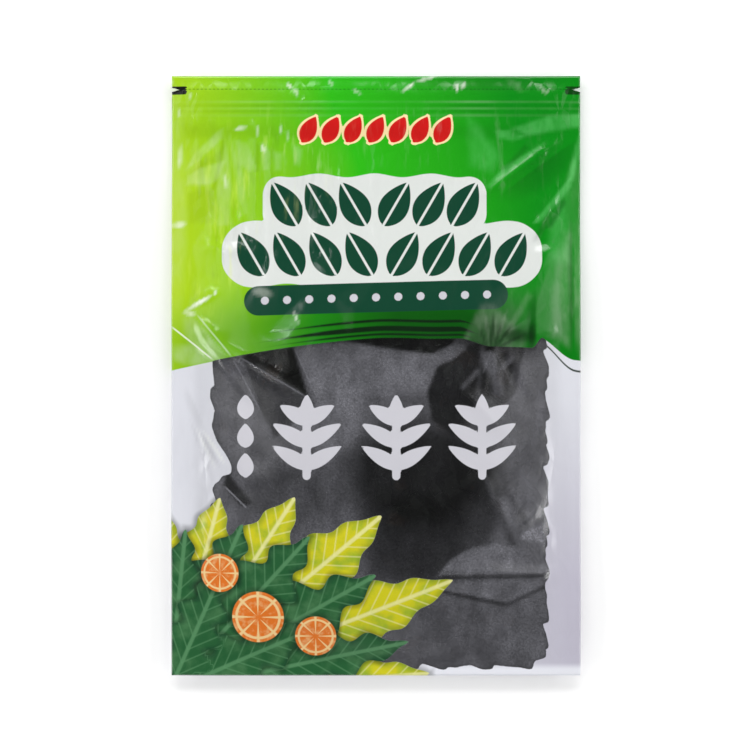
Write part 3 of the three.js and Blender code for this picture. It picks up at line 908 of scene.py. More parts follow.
# Facets of painted sheen
SHEEN_FACETS = (
    # The slanted folds at the left, and the fan down from the zip
    Facet(
        ((-70, 75.5), (-65.2, 78.9), (-56.5, 87.1), (-56.2, 90.5), (-58.8, 89), (-66.7, 81.5)), 0.11, 0.7
    ),
    Facet(
        ((-69.7, 69.9), (-60.7, 70.2), (-57.7, 72.5),
         (-55.4, 78.9), (-65.2, 75.9), (-68.9, 73.2)), 0.12, 0.7
    ),
    Facet(((-55, 87.5), (-58.4, 68.4), (-57.7, 55.2), (-53.9, 55.2), (-53.2, 70.2)), 0.09, 0.7),
    Facet(((-53.9, 88.2), (-52, 74), (-48.7, 59), (-47.2, 59.7), (-48.7, 74)), 0.08, 0.7),
    Facet(((-52, 86.7), (-50.2, 77.7), (-46.4, 74.7), (-43.8, 75.5), (-47.2, 85.2)), 0.09, 0.7),
    Facet(((-42.3, 85.2), (-41.5, 75.5), (-39.3, 75.5), (-38.9, 81.5), (-40.4, 85.2)), 0.1, 0.7),
    Facet(((-37.4, 82.2), (-37, 75.5), (-34.8, 75.5), (-34.4, 81.5)), 0.1, 0.9),
    Facet(((-30.3, 84.5), (-29.9, 77.7), (-28, 77), (-27.3, 83)), 0.1, 0.9),
    # The broad band down the right side, lightest along its right edge
    Facet(((58.2, 15.2), (69.8, 11.2), (71.6, 25.9), (71.6, 54), (68.6, 54), (58.2, 25.9)), 0.02, 0.8),
    Facet(((64, 15), (70.5, 11), (71.8, 26), (71.8, 52), (69.4, 52), (64.5, 30)), 0.08, 2),
    # The crumpled corner beside it
    Facet(((31, 11), (36, 9.4), (54, 9), (55, 13), (42.4, 26), (38.2, 26)), 0.06, 1.2),
    Facet(((47.4, 16.7), (48.5, 14.9), (56.9, 28.8), (55.5, 30.7)), 0.06, 0.8),
)
# Facets of painted sheen in pale green over the forest end of the field
FOREST_SHEEN_FACETS = (
    # Under the zip at the right
    Facet(((43.6, 89.8), (45.2, 87.1), (50.5, 86.3), (54.4, 87.6), (49.6, 89.8)), 0.28, 0.8),
    Facet(((50, 90.6), (56, 88.2), (75, 91.5), (75, 96), (63.8, 95.2)), 0.26, 1),
    Facet(((34.5, 93.8), (34.9, 77.3), (41.9, 75.5), (45.2, 80.6), (37.8, 90.5)), 0.2, 2.5),
    # Along the slanted fold and down the right edge
    Facet(((41.6, 68.5), (60.2, 83.2), (61.3, 85), (47.4, 76.8), (40.8, 69.6)), 0.26, 0.7),
    Facet(
        ((75, 89), (73.2, 84), (71.2, 74.6), (70.8, 71.6), (72.4, 71.6), (73.5, 76), (75, 82.5)), 0.34, 0.8
    ),
    Facet(((72.1, 73.4), (68.7, 69.4), (58, 56.3), (60.1, 56.3), (69.3, 66.1), (71.9, 69.7)), 0.3, 0.7),
    Facet(((70.8, 71), (64, 54), (63.2, 41.6), (71.1, 41.6)), 0.16, 2.5),
)
# Where fine upright streaks of painted sheen and painted shade show: middle, radii and strength, and how far
# a zone eases out
STREAK_ZONES = (
    ((-44, 74), (38, 30), 0.34),
    ((-62, 40), (20, 26), 0.4),
    ((52, 78), (34, 26), 0.08),
    ((8, 88), (30, 14), 0.15),
    ((64, 30), (16, 34), 0.2),
)
STREAK_EASE = (0.3, 1)
# Painted shade of dark folds, where the film turns away from the light
SHADES = (
    Veil((71.6, 62), (71.8, 4), 1, 1.4, 0.4),
    Veil((43, 64), (76, 88), 0.8, 9, 0.25),
    Veil((58.6, 33), (57.4, 8), 0.8, 4, 0.4),
    # Rays of the crumpled corner
    Veil((41, 8), (37.6, 18), 0.8, 0.8, 0.5),
    Veil((41.6, 6), (42.8, 24), 0.8, 0.8, 0.65),
    Veil((42, 7), (46.2, 21), 0.8, 0.8, 0.6),
    Veil((42, 8), (50.5, 20), 0.8, 0.8, 0.6),
    Veil((42, 9), (56, 16), 0.9, 0.9, 0.6),
    Veil((34, 13), (41.4, 9.6), 0.8, 0.8, 0.45),
    Veil((44, 15), (60, 14), 3, 3, 0.6),
    Veil((57, 21), (57, 8), 1.7, 1.7, 0.65),
    # Folds of the left panel
    Veil((-66, -18), (-56, -35), 0.9, 0.9, 0.6),
    Veil((-70.5, -3), (-62, -22), 1, 3, 0.3),
    Veil((-69, -14), (-59, -40), 0.9, 0.9, 0.35),
    # Top strip at the right
    Veil((4, 108.6), (76, 108.6), 3, 5, 0.2),
    # Under the slanted fold at the right
    Veil((66, 62), (57, 48), 2, 1, 0.2),
)
# Facets of painted shade
SHADE_FACETS = (
    Facet(((-68.9, 74), (-56.2, 79.2), (-56.5, 83), (-65.2, 77.7)), 0.08, 1.2),
    Facet(((-69.3, 66.5), (-68.9, 56), (-60.3, 56), (-59.5, 68.4), (-65.2, 68.7)), 0.1, 1.2),
    Facet(((-44.2, 86), (-44.5, 74.7), (-43, 74.7), (-42.7, 84.5)), 0.16, 0.6),
    Facet(((68.7, 65.2), (62.8, 54.5), (64.6, 54.5), (70, 63.6)), 0.35, 0.7),
    Facet(((46, 75.6), (47.8, 75.2), (56, 83.4), (54.6, 84.8)), 0.25, 0.8),
    Facet(((-56.4, 87), (-60, 68.4), (-58.8, 68.4), (-55.6, 84)), 0.16, 0.6),
    # The crumpled corner
    Facet(((30, 9), (57, 9), (57.5, 18), (40, 19)), 0.3, 1.5),
)
# Painted glints along the sharpest creases: half width, reach and share of the length over which they run
# out, ends and strength
LINE_HALF = 0.3
LINE_REACH = (1.3, 2.6)
LINE_END_SHARE = 0.15
GLINT_LINES = (
    ((-76, 18.7), (-59, 5.3), 0.7),
    ((-66, 22.8), (-52.2, 6.5), 0.3),
    ((-52.5, 6.9), (-41, -14.5), 0.16),
    ((-51, 7.5), (-24, -8.4), 0.2),
    ((-30, 10.8), (-21, -9), 0.1),
    ((41.2, 68.4), (60, 83.2), 0.05),
    # The crumpled corner, and the short fold at the lower left
    ((42, 9.6), (38.5, 0), 0.1),
    ((43.4, 9), (50, -4), 0.08),
    ((-55.5, -40), (-46.5, -48.4), 0.4),
)


def veil_strength(x, y, veils):
    bare = np.ones_like(x)
    for veil in veils:
        along, across, length = line_places(x, y, veil.start, veil.end)
        run = np.where(across > 0, veil.left, veil.right)
        inside = 1 - (2 * along / length - 1) ** 2 - (across / run) ** 2
        bare *= 1 - veil.strength * smoothstep(inside, 0, 1)
    return 1 - bare


def spot_distance(x, y, middle, radii):
    """Distance from a spot's middle, in shares of its radii."""
    return np.hypot((x - middle[0]) / radii[0], (y - middle[1]) / radii[1])


def streak_strength(x, y):
    strength = np.zeros_like(x)
    for middle, radii, share in STREAK_ZONES:
        away = spot_distance(x, y, middle, radii)
        strength = np.maximum(strength, share * (1 - smoothstep(away, *STREAK_EASE)))
    return strength


def glint_line_places(x, y):
    """Signed distance to the nearest painted glint line, and the strength of that line there."""
    nearest = np.full_like(x, FAR)
    strength = np.zeros_like(x)
    for start, end, share in GLINT_LINES:
        along, across, length = line_places(x, y, start, end)
        ends = smoothstep(np.minimum(along, length - along), 0, LINE_END_SHARE * length)
        here = share * ends * (1 - smoothstep(np.abs(across), *LINE_REACH))
        nearest = np.where(here > strength, across, nearest)
        strength = np.maximum(strength, here)
    return nearest, strength


def facet_share(x, y, facet):
    """1 inside a facet, easing to 0 over its edges."""
    edges = zip(facet.corners, facet.corners[1:] + facet.corners[:1])
    inside = np.minimum.reduce([line_places(x, y, start, end)[1] for start, end in edges])
    return smoothstep(inside, -facet.soft, facet.soft)


def tone_strength(x, y, veils, facets):
    """Strength of a set of streaks and facets together."""
    bare = 1 - veil_strength(x, y, veils)
    for facet in facets:
        bare *= 1 - facet.strength * facet_share(x, y, facet)
    return 1 - bare


# Strength of the dust haze, with its painted reflection and painted shade, in the window
def haze_and_reflection(x, y):
    level = np.full_like(x, BASE_HAZE)
    for middle, radii, least in CLEAR_SPOTS:
        away = spot_distance(x, y, middle, radii)
        level *= lerp(least, 1, smoothstep(away, *CLEAR_EASE))
    begin, end, least = CLEAR_SIDES
    level *= lerp(1, least, smoothstep(np.abs(x), begin, end))
    for facet in REFLECTION_FACETS:
        level = lerp(level, facet.strength, facet_share(x, y, facet))
    for inside, (reach, least) in ((-field_height(x, y), HAZE_SHADE_TOP), (window_inside(x, y), HAZE_SHADE_RIM)):
        level *= lerp(least, 1, smoothstep(inside, 0, reach))
    return level


# The finest creases: length, bend and bend's length of the waves that part them into patches, and their spans
PATCHES_ACROSS = (7, 1.3, 9)
PATCHES_ALONG = (12, 0.8, 11)
FINE_HEADER = (20, 60)
FINE_SIDES = (52, 66)
FINE_SIDE_SHARE = 0.5
FINE_LEAST = 0.08


def bent_wave(along, across, length, bend, bend_length):
    return np.sin(along / length + bend * np.sin(across / bend_length))


def fine_creasing(x, y):
    """Strength of the finest creases: patches of the header and the sides, and little over the fill."""
    patches = 0.5 + 0.5 * bent_wave(x, y, *PATCHES_ACROSS) * bent_wave(y, x, *PATCHES_ALONG)
    header = smoothstep(y, *FINE_HEADER) * patches
    sides = FINE_SIDE_SHARE * smoothstep(np.abs(x), *FINE_SIDES) * patches
    return np.maximum(FINE_LEAST, np.maximum(header, sides))


def film_measures(x, y):
    """Every painted tone of the bent film, sheen, shade and reflection, with the strength of its finest
    creases, by the name of its attribute.
    """
    line_across, line_strength = glint_line_places(x, y)
    return {
        "haze_and_reflection": haze_and_reflection(x, y),
        "veil": tone_strength(x, y, SHEEN_VEILS, SHEEN_FACETS),
        "forest_sheen": tone_strength(x, y, (), FOREST_SHEEN_FACETS),
        "fold_shade": tone_strength(x, y, SHADES, SHADE_FACETS),
        "streaks": streak_strength(x, y),
        "line_across": line_across,
        "line_strength": line_strength,
        "fine_crease": fine_creasing(x, y),
    }


# Materials

# Softness of an ink's edge, in millimetres
INK_FEATHER = 0.14


class Grain(NamedTuple):
    """A noise over a piece, and how its values are spread into shares of a tone."""

    scale: float
    detail: float
    stretch: tuple = (1, 1, 1)
    spread: tuple = (0, 1)
    roughness: float = 0.5


class NodeKit:
    """Adds and joins the nodes of one tree in few words."""

    def __init__(self, tree):
        self.tree = tree

    def put(self, socket, value):
        if isinstance(value, bpy.types.NodeSocket):
            self.tree.links.new(value, socket)
        else:
            socket.default_value = value

    def add(self, kind, inputs=(), **choices):
        node = self.tree.nodes.new(kind)
        for name, value in choices.items():
            setattr(node, name, value)
        for socket, value in dict(inputs).items():
            self.put(node.inputs[socket], value)
        return node

    def first(self, kind, inputs=(), **choices):
        """The first output of a new node."""
        return self.add(kind, inputs, **choices).outputs[0]

    def math(self, operation, *values, clamp=False):
        return self.first("ShaderNodeMath", enumerate(values), operation=operation, use_clamp=clamp)

    def times(self, left, right):
        return self.math("MULTIPLY", left, right)

    def plus(self, left, right):
        return self.math("ADD", left, right)

    def minus(self, left, right):
        return self.math("SUBTRACT", left, right)

    def measure(self, name):
        return self.add("ShaderNodeAttribute", attribute_name=name).outputs["Fac"]

    def ramp(self, value, low, high, to_low=0.0, to_high=1.0, course="LINEAR"):
        inputs = {"Value": value, "From Min": low, "From Max": high, "To Min": to_low, "To Max": to_high}
        return self.first("ShaderNodeMapRange", inputs, interpolation_type=course)

    def spread(self, value, *span):
        """A ramp that eases at both its ends."""
        return self.ramp(value, *span, course="SMOOTHSTEP")

    def mask(self, value, feather=INK_FEATHER):
        return self.spread(value, -feather, feather)

    def band(self, value, middle, half, feather=INK_FEATHER):
        """1 within half a width of a middle value."""
        away = self.math("ABSOLUTE", self.minus(value, middle))
        return self.mask(self.minus(half, away), feather)

    def colour(self, value):
        return value if isinstance(value, bpy.types.NodeSocket) else (*value, 1.0)

    def paint(self, under, over, share):
        inputs = {0: share, 6: self.colour(under), 7: self.colour(over)}
        return self.add("ShaderNodeMix", inputs, data_type="RGBA").outputs[2]

    def motif(self, colour, ink, name):
        """Prints an ink where a motif's measure is above 0."""
        return self.paint(colour, ink, self.mask(self.measure(name)))

    def places(self, stretch):
        """Places over the piece, stretched along its axes."""
        inputs = {"Vector": self.add("ShaderNodeTexCoord").outputs["Object"], "Scale": stretch}
        return self.first("ShaderNodeMapping", inputs)

    def noise(self, grain):
        inputs = {"Scale": grain.scale, "Detail": grain.detail, "Roughness": grain.roughness}
        inputs["Vector"] = self.places(grain.stretch)
        return self.add("ShaderNodeTexNoise", inputs).outputs["Fac"]

    def grain(self, grain):
        return self.spread(self.noise(grain), *grain.spread)

    def facets(self, scale, stretch):
        """Flat facets that meet in sharp lines, like crumpled film."""
        inputs = {"Vector": self.places(stretch), "Scale": scale}
        cells = self.add("ShaderNodeTexVoronoi", inputs, voronoi_dimensions="2D", feature="DISTANCE_TO_EDGE")
        return cells.outputs["Distance"]

    def bump(self, height, strength, distance):
        inputs = {"Height": height, "Strength": strength, "Distance": distance}
        return self.first("ShaderNodeBump", inputs)

    def principled(self, **inputs):
        """A surface whose inputs are named with _ for a space."""
        named = {name.replace("_", " "): value for name, value in inputs.items()}
        return self.first("ShaderNodeBsdfPrincipled", named)

    def mix(self, share, under, over):
        return self.first("ShaderNodeMixShader", {0: share, 1: under, 2: over})


def new_material(name):
    material = bpy.data.materials.new(name)
    material.use_nodes = True
    material.node_tree.nodes.clear()
    return material, NodeKit(material.node_tree)


def finish_material(kit, shader):
    kit.add("ShaderNodeOutputMaterial", {"Surface": shader})


def millimetre_places(kit):
    """Sockets of X and Y over the pouch, in millimetres."""
    places = kit.add("ShaderNodeTexCoord").outputs["Object"]
    scaled = kit.first("ShaderNodeVectorMath", {0: places, 3: 1 / MM}, operation="SCALE")
    east, north, _ = kit.add("ShaderNodeSeparateXYZ", {0: scaled}).outputs
    return east, north


def tint(colour, share):
    """A colour made darker or lighter."""
    return tuple(share * part for part in colour)


# Tones of the green field, by the height over its lower edge and by the place across the pouch
FIELD_LOW = (30, 8)
FIELD_LOW_SHIFT = 16
FIELD_HIGH_SHIFT = (60, 95, 0, 11)
LIME_TO_LEAF = (-75, -6)
LEAF_TO_FOREST = (-6, 60)
SHADE_FROM_LEFT = (-88, 8)
SHADE_TO_RIGHT = (40, 62, 0.9, 0.3)


def green_field(kit, inks, x, field):
    """Green from lime at the left to forest at the right, shaded along its lower edge."""
    low = kit.spread(field, *FIELD_LOW)
    shift = kit.plus(kit.times(low, FIELD_LOW_SHIFT), kit.spread(field, *FIELD_HIGH_SHIFT))
    along = kit.plus(x, shift)
    green = kit.paint(inks.lime, inks.leaf, kit.ramp(along, *LIME_TO_LEAF))
    green = kit.paint(green, inks.forest, kit.ramp(along, *LEAF_TO_FOREST))
    shaded = kit.times(kit.ramp(x, *SHADE_FROM_LEFT), kit.spread(x, *SHADE_TO_RIGHT))
    return kit.paint(green, inks.shade, kit.times(low, shaded))


# Dark lines of the field: height and half width of each over the edge, and the spans of their two ends
PINSTRIPES = ((6.6, 0.5), (3.7, 0.95), (1.6, 0.4))
PINSTRIPE_LEFT = (-52, -10)
PINSTRIPE_RIGHT = (40, 29)
PINSTRIPE_TAPER = 0.35
PINSTRIPE_FEATHER = 0.4
# Where the line under the edge begins, with its height, half width and softness, and how far it splays
EDGE_LINE_FROM = (61, 63)
EDGE_LINE = (-1.8, 0.35, 0.3)
EDGE_LINE_SPLAY = 2.2


def pinstripes(kit, inks, colour, x, field):
    """Dark lines over the field's lower edge, run out to both sides, and one under it at the right."""
    taper = kit.times(kit.spread(x, *PINSTRIPE_LEFT), kit.spread(x, *PINSTRIPE_RIGHT))
    for height, half in PINSTRIPES:
        width = kit.minus(kit.times(taper, half + PINSTRIPE_TAPER), PINSTRIPE_TAPER)
        colour = kit.paint(colour, inks.stripe, kit.band(field, height, width, PINSTRIPE_FEATHER))
    splay = kit.spread(x, EDGE_LINE_FROM[0], HALF_WIDTH, 0, EDGE_LINE_SPLAY)
    line = kit.band(kit.plus(field, splay), *EDGE_LINE)
    return kit.paint(colour, inks.stripe, kit.times(line, kit.spread(x, *EDGE_LINE_FROM)))


# Where the panels take painted light along the seals and the foot and painted shade towards the lower right,
# and their streaks and tones
PANEL_FOOT_LIGHT = (-105, -108)
PANEL_SEAL_LIGHT = (64, 69.5, 0, 0.55)
PANEL_SHADE_ACROSS = (30, 70)
PANEL_SHADE_DOWN = (-10, -75)
PANEL_STREAKS = Grain(90, 4, (0.9, 0.35, 1), (0.52, 0.8, 0, 0.7))
PANEL_GREY = 0.72
PANEL_LIGHT_SHARE = 1.25


def side_panels(kit, inks):
    """Off-white panels with faint grey streaks, painted light along the seals and the foot, and painted shade
    towards the lower right.
    """
    x, y = millimetre_places(kit)
    painted_light = tint(inks.panel, PANEL_LIGHT_SHARE)
    panel = kit.paint(inks.panel, tint(inks.panel, PANEL_GREY), kit.grain(PANEL_STREAKS))
    panel = kit.paint(panel, painted_light, kit.spread(kit.math("ABSOLUTE", x), *PANEL_SEAL_LIGHT))
    shaded_low_right = kit.times(kit.ramp(x, *PANEL_SHADE_ACROSS), kit.ramp(y, *PANEL_SHADE_DOWN))
    panel = kit.paint(panel, inks.panel_shade, shaded_low_right)
    return kit.paint(panel, painted_light, kit.spread(y, *PANEL_FOOT_LIGHT))


def field_print(kit, inks, x, field):
    """The side panels, the green field on them and its dark lines."""
    colour = kit.paint(side_panels(kit, inks), green_field(kit, inks, x, field), kit.mask(field))
    return pinstripes(kit, inks, colour, x, field)


class LeafTones(NamedTuple):
    """Colours of a printed leaf: its veins, its mottle and its shaded rim."""

    vein: tuple
    mottle: tuple
    rim: tuple


LEAF_TONES = {
    "yellow": LeafTones((0.8, 0.78, 0.34), (0.24, 0.4, 0.03), (0.16, 0.24, 0.02)),
    "frond": LeafTones((0.1, 0.27, 0.12), (0.07, 0.2, 0.08), (0.008, 0.04, 0.02)),
}
LEAF_SHADOW = (0.004, 0.012, 0.006)
LEAF_SHADOW_SPAN = (-2.6, 0, 0, 0.5)
LEAF_MOTTLE = Grain(130, 5, spread=(0.42, 0.72, 0, 0.8))
# Spans and strengths of a leaf's rim, side veins and midrib
LEAF_RIM = (4.2, 0.8, 0, 0.6)
LEAF_RIM_WANDER = 2
LEAF_VEINS = (0.75, 1, 0, 0.45)
LEAF_MIDRIB = (1.1, 0.3, 0, 0.8)
VEIN_SPACING = 5.2
VEIN_SLANT = 1.1


def leaf_colour(kit, name, ink, tones):
    """A printed leaf with a midrib, side veins, mottle and a shaded rim."""
    rib = kit.math("ABSOLUTE", kit.measure(name + "_rib"))
    slant = kit.minus(kit.measure(name + "_along"), kit.times(rib, VEIN_SLANT))
    wave = kit.math("SINE", kit.times(slant, 2 * math.pi / VEIN_SPACING))
    mottle = kit.noise(LEAF_MOTTLE)
    depth = kit.plus(kit.measure(name + "_ink"), kit.times(mottle, LEAF_RIM_WANDER))
    colour = kit.paint(ink, tones.mottle, kit.spread(mottle, *LEAF_MOTTLE.spread))
    colour = kit.paint(colour, tones.rim, kit.spread(depth, *LEAF_RIM))
    colour = kit.paint(colour, tones.vein, kit.spread(wave, *LEAF_VEINS))
    return kit.paint(colour, tones.vein, kit.spread(rib, *LEAF_MIDRIB))


def shadowed(kit, colour, inside):
    """A soft printed shadow round a motif."""
    return kit.paint(colour, LEAF_SHADOW, kit.spread(inside, *LEAF_SHADOW_SPAN))


def picture_colour(kit, inks, colour):
    """The fan of leaves, fronds and slices at the lower left."""
    for name, layer in PICTURE_LAYERS.items():
        inside = kit.measure(name + "_ink")
        leaf = leaf_colour(kit, name, getattr(inks, layer.ink), LEAF_TONES[layer.ink])
        colour = kit.paint(shadowed(kit, colour, inside), leaf, kit.mask(inside))
    return slice_colour(kit, inks, shadowed(kit, colour, kit.measure("slice")))


SLICE_PALE = (0.85, 0.6, 0.28)
SLICE_PARTS = 8
# Shares of a slice's radius where its ring begins and ends and its walls begin, and a wall's span
SLICE_RING_IN = (0.76, 0.8)
SLICE_RING_OUT = (0.9, 0.86)
SLICE_HUB = (0.1, 0.2)
SLICE_WALL = (0.34, 0.14)
SLICE_PULP = Grain(420, 3, spread=(0.45, 0.75, 0, 0.5))


def slice_colour(kit, inks, colour):
    """Round slices with a rind, a pale ring and eight parts."""
    east, north = kit.measure("slice_x"), kit.measure("slice_y")
    radius = kit.math("SQRT", kit.plus(kit.times(east, east), kit.times(north, north)))
    turn = kit.times(kit.math("ARCTAN2", north, east), SLICE_PARTS / 2)
    spoke = kit.math("ABSOLUTE", kit.math("SINE", turn))
    ring = kit.times(kit.spread(radius, *SLICE_RING_IN), kit.spread(radius, *SLICE_RING_OUT))
    walls = kit.times(kit.spread(spoke, *SLICE_WALL), kit.spread(radius, *SLICE_HUB))
    pulp = kit.paint(inks.orange, SLICE_PALE, kit.grain(SLICE_PULP))
    flesh = kit.paint(pulp, SLICE_PALE, kit.math("MAXIMUM", ring, walls))
    return kit.motif(colour, flesh, "slice")


GARLAND_RIB = 0.45
TEAR_LINE_HALF = 0.16
# Span and strengths of the tear line's dashes
TEAR_DASHES = (-0.4, 0.2, 0.15, 0.6)
ZIP_LINE_FEATHER = 0.4
ZIP_UNEVEN = Grain(45, 2, (1, 0.05, 1), (0.35, 0.7, 0.15, 1))


def printed_colour(kit, inks):
    """All inks from the bottom layer up, and the painted sheen, shade and glints of the bent film over them.
    """
    x, y = millimetre_places(kit)
    field = kit.measure("field")
    colour = field_print(kit, inks, x, field)
    outline = kit.plus(kit.measure("red_ink"), CREAM_LINE)
    colour = kit.paint(colour, inks.cream, kit.mask(outline))
    for ink, name in ((inks.red, "red_ink"), (inks.plaque, "plaque"), (inks.deep, "deep_ink")):
        colour = kit.motif(colour, ink, name)
    rib = kit.band(kit.measure("garland_rib"), 0, GARLAND_RIB)
    colour = kit.paint(colour, inks.plaque, rib)
    colour = kit.motif(colour, inks.motif, "light_ink")
    colour = picture_colour(kit, inks, colour)
    colour = tear_print(kit, inks, colour, x, y)
    colour = zip_painted_lines(kit, inks, colour, x, y)
    return film_tones(kit, inks, colour, x, field)


def tear_print(kit, inks, colour, x, y):
    """The dashed tear line and the marks at its two ends."""
    dashes = kit.spread(kit.math("SINE", kit.times(x, TEAR_DASH_RATE)), *TEAR_DASHES)
    line = kit.times(kit.band(y, TEAR_LINE_Y, TEAR_LINE_HALF), dashes)
    colour = kit.paint(colour, inks.shade, line)
    mark = kit.paint(inks.black, inks.shade, kit.mask(x))
    return kit.motif(colour, mark, "tear_mark")


def zip_painted_lines(kit, inks, colour, x, y):
    """Painted shade and painted highlights along the zip's ribs, as darker and lighter lines, fainter at the
    left.
    """
    pressed = kit.times(kit.spread(x, *ZIP_SLACK), kit.grain(ZIP_UNEVEN))
    for ink, lines in ((inks.shade, ZIP_SHADE_LINES), (inks.painted_sheen, ZIP_HIGHLIGHT_LINES)):
        for line_y, half, share in lines:
            line = kit.times(kit.band(y, line_y, half, ZIP_LINE_FEATHER), share)
            colour = kit.paint(colour, ink, kit.times(line, pressed))
    return colour


# Fine upright streaks of painted shade and painted sheen: their patches, the dark and the light ones, and
# where the light ones turn from lime to white
STREAK_PATCHES = Grain(75, 2, (1, 0.6, 1), (0.38, 0.62))
SHADE_STREAKS = Grain(330, 3, (1, 0.15, 1), (0.5, 0.72, 0, 0.4), 0.55)
SHEEN_STREAKS = Grain(420, 3, (1, 0.15, 1), (0.5, 0.72, 0, 0.8), 0.55)
SHEEN_LIME_TO_WHITE = (-50, 20)
# Patches that break up the painted sheen
SHEEN_PATCHES = Grain(220, 3, (1, 0.5, 1), (0.3, 0.7, 0.5, 1.2))


def painted_streaks(kit, inks, colour, x):
    """Fine upright streaks of painted sheen and painted shade, in patches."""
    patches = kit.times(kit.measure("streaks"), kit.grain(STREAK_PATCHES))
    light = kit.paint(inks.lime_sheen, inks.painted_sheen, kit.ramp(x, *SHEEN_LIME_TO_WHITE))
    for ink, streaks in ((inks.shade, SHADE_STREAKS), (light, SHEEN_STREAKS)):
        colour = kit.paint(colour, ink, kit.times(patches, kit.grain(streaks)))
    return colour


def film_tones(kit, inks, colour, x, field):
    """Painted streaks, facets of painted sheen, painted shade of folds and painted glints along the sharpest
    creases.
    """
    colour = painted_streaks(kit, inks, colour, x)
    patchy = kit.grain(SHEEN_PATCHES)
    for ink, name in ((inks.forest_sheen, "forest_sheen"), (inks.painted_sheen, "veil")):
        colour = kit.paint(colour, ink, kit.times(kit.measure(name), patchy))
    # Painted shade of folds: grey over the panels, near-black green over the field
    fold_shade_ink = kit.paint(tint(inks.panel, PANEL_GREY), inks.stripe, kit.mask(field))
    colour = kit.paint(colour, fold_shade_ink, kit.measure("fold_shade"))
    return kit.paint(colour, inks.painted_sheen, painted_glint_lines(kit))


def painted_glint_lines(kit):
    """Strength of the painted glints, thin white lines along the sharpest creases."""
    line = kit.band(kit.measure("line_across"), 0, LINE_HALF)
    return kit.times(line, kit.measure("line_strength"))


def clear_share(kit):
    """1 where the window has no ink on it."""
    clear = kit.mask(kit.measure("window"))
    for name in ("light_ink", "slice", *(layer + "_ink" for layer in PICTURE_LAYERS)):
        clear = kit.times(clear, kit.minus(1, kit.mask(kit.measure(name))))
    return clear


# Finishes of the films: scale and stretch of the finest creases, dust, gloss and linings
FINE_CREASES = (240, (1, 0.5, 1))
DUST_CLOUDS = Grain(160, 4, (1, 0.6, 1), (0.3, 0.75, 0.4, 0.66))
DUST_SPECKS = Grain(1500, 2, spread=(0.3, 0.7, 0.75, 1.25))
CLEAR_FILM = (0.95, 0.96, 0.95, 1)
PRINT_ROUGHNESS = 0.18
BACK_CREASES = Grain(300, 4, (1, 0.6, 1))
LINING_SPECKS = Grain(900, 2, spread=(0.5, 0.8))
LINING_PALE = 2


def window_shader(kit, inks, normal):
    """Clear film with dust on its inside and gloss on its outside; the dust's grey also carries painted
    reflection and painted glints.
    """
    dust_and_reflection = kit.times(kit.measure("haze_and_reflection"), kit.times(kit.grain(DUST_CLOUDS), kit.grain(DUST_SPECKS)))
    thick = kit.math("ADD", dust_and_reflection, painted_glint_lines(kit), clamp=True)
    clear = kit.first("ShaderNodeBsdfTransparent", {"Color": CLEAR_FILM})
    veil = kit.first("ShaderNodeBsdfDiffuse", {"Color": (*inks.veil, 1), "Normal": normal})
    shine = kit.first("ShaderNodeBsdfGlossy", {"Roughness": PRINT_ROUGHNESS, "Normal": normal})
    gloss = kit.first("ShaderNodeFresnel", {"IOR": 1.6, "Normal": normal})
    return kit.mix(gloss, kit.mix(thick, clear, veil), shine)


def printed_film_material(inks):
    """Glossy inks with painted sheen and shade, and clear dusty film with painted reflection at the window.
    """
    material, kit = new_material("printed_film")
    wrinkle = kit.times(kit.facets(*FINE_CREASES), kit.measure("fine_crease"))
    normal = kit.bump(wrinkle, strength=1, distance=0.0006)
    colour = printed_colour(kit, inks)
    ink = kit.principled(Base_Color=colour, Roughness=PRINT_ROUGHNESS, IOR=1.5, Normal=normal)
    finish_material(kit, kit.mix(clear_share(kit), ink, window_shader(kit, inks, normal)))
    return material


def film_lining_material(inks):
    """Inner face of the front film: white behind the inks and clear at the window."""
    material, kit = new_material("film_lining")
    white = kit.principled(Base_Color=(*inks.panel, 1), Roughness=0.4)
    clear = kit.first("ShaderNodeBsdfTransparent")
    finish_material(kit, kit.mix(clear_share(kit), white, clear))
    return material


def back_film_material(inks):
    """White laminate with the green field across its header, and painted light and shade on its panels."""
    material, kit = new_material("back_film_print")
    x, _ = millimetre_places(kit)
    colour = field_print(kit, inks, x, kit.measure("field"))
    normal = kit.bump(kit.noise(BACK_CREASES), strength=0.2, distance=0.0005)
    film = kit.principled(Base_Color=colour, Roughness=0.22, IOR=1.5, Normal=normal)
    finish_material(kit, film)
    return material


def dark_lining_material(inks):
    """Inner face of the back film."""
    material, kit = new_material("back_film_lining")
    colour = kit.paint(inks.lining, tint(inks.lining, LINING_PALE), kit.grain(LINING_SPECKS))
    finish_material(kit, kit.principled(Base_Color=colour, Roughness=0.5))
    return material


DRAW_LINES = Grain(600, 2, (0.02, 1, 1))
ZIP_TONES = ((0.72, 0.8, 0.7), (0.62, 0.72, 0.6))


def zip_material():
    """Milky extruded plastic with faint draw lines along the zip."""
    material, kit = new_material("zip_plastic")
    lines = kit.noise(DRAW_LINES)
    colour = kit.paint(*ZIP_TONES, lines)
    normal = kit.bump(lines, strength=0.3, distance=0.0002)
    finish_material(kit, kit.principled(Base_Color=colour, Roughness=0.38, Normal=normal))
    return material


# Dried blades: their dark tone, brown midrib pieces, salt and wrinkles
BLADE_DARK = 0.3
BLADE_TONES = Grain(110, 4, spread=(0.35, 0.65))
STEM_PIECES = Grain(70, 2, spread=(0.6, 0.7, 0, 0.85))
SALT = (0.2, 0.21, 0.19)
SALT_SPECKS = Grain(1500, 2, spread=(0.68, 0.8, 0, 0.6))
BLADE_WRINKLES = Grain(520, 5, roughness=0.65)


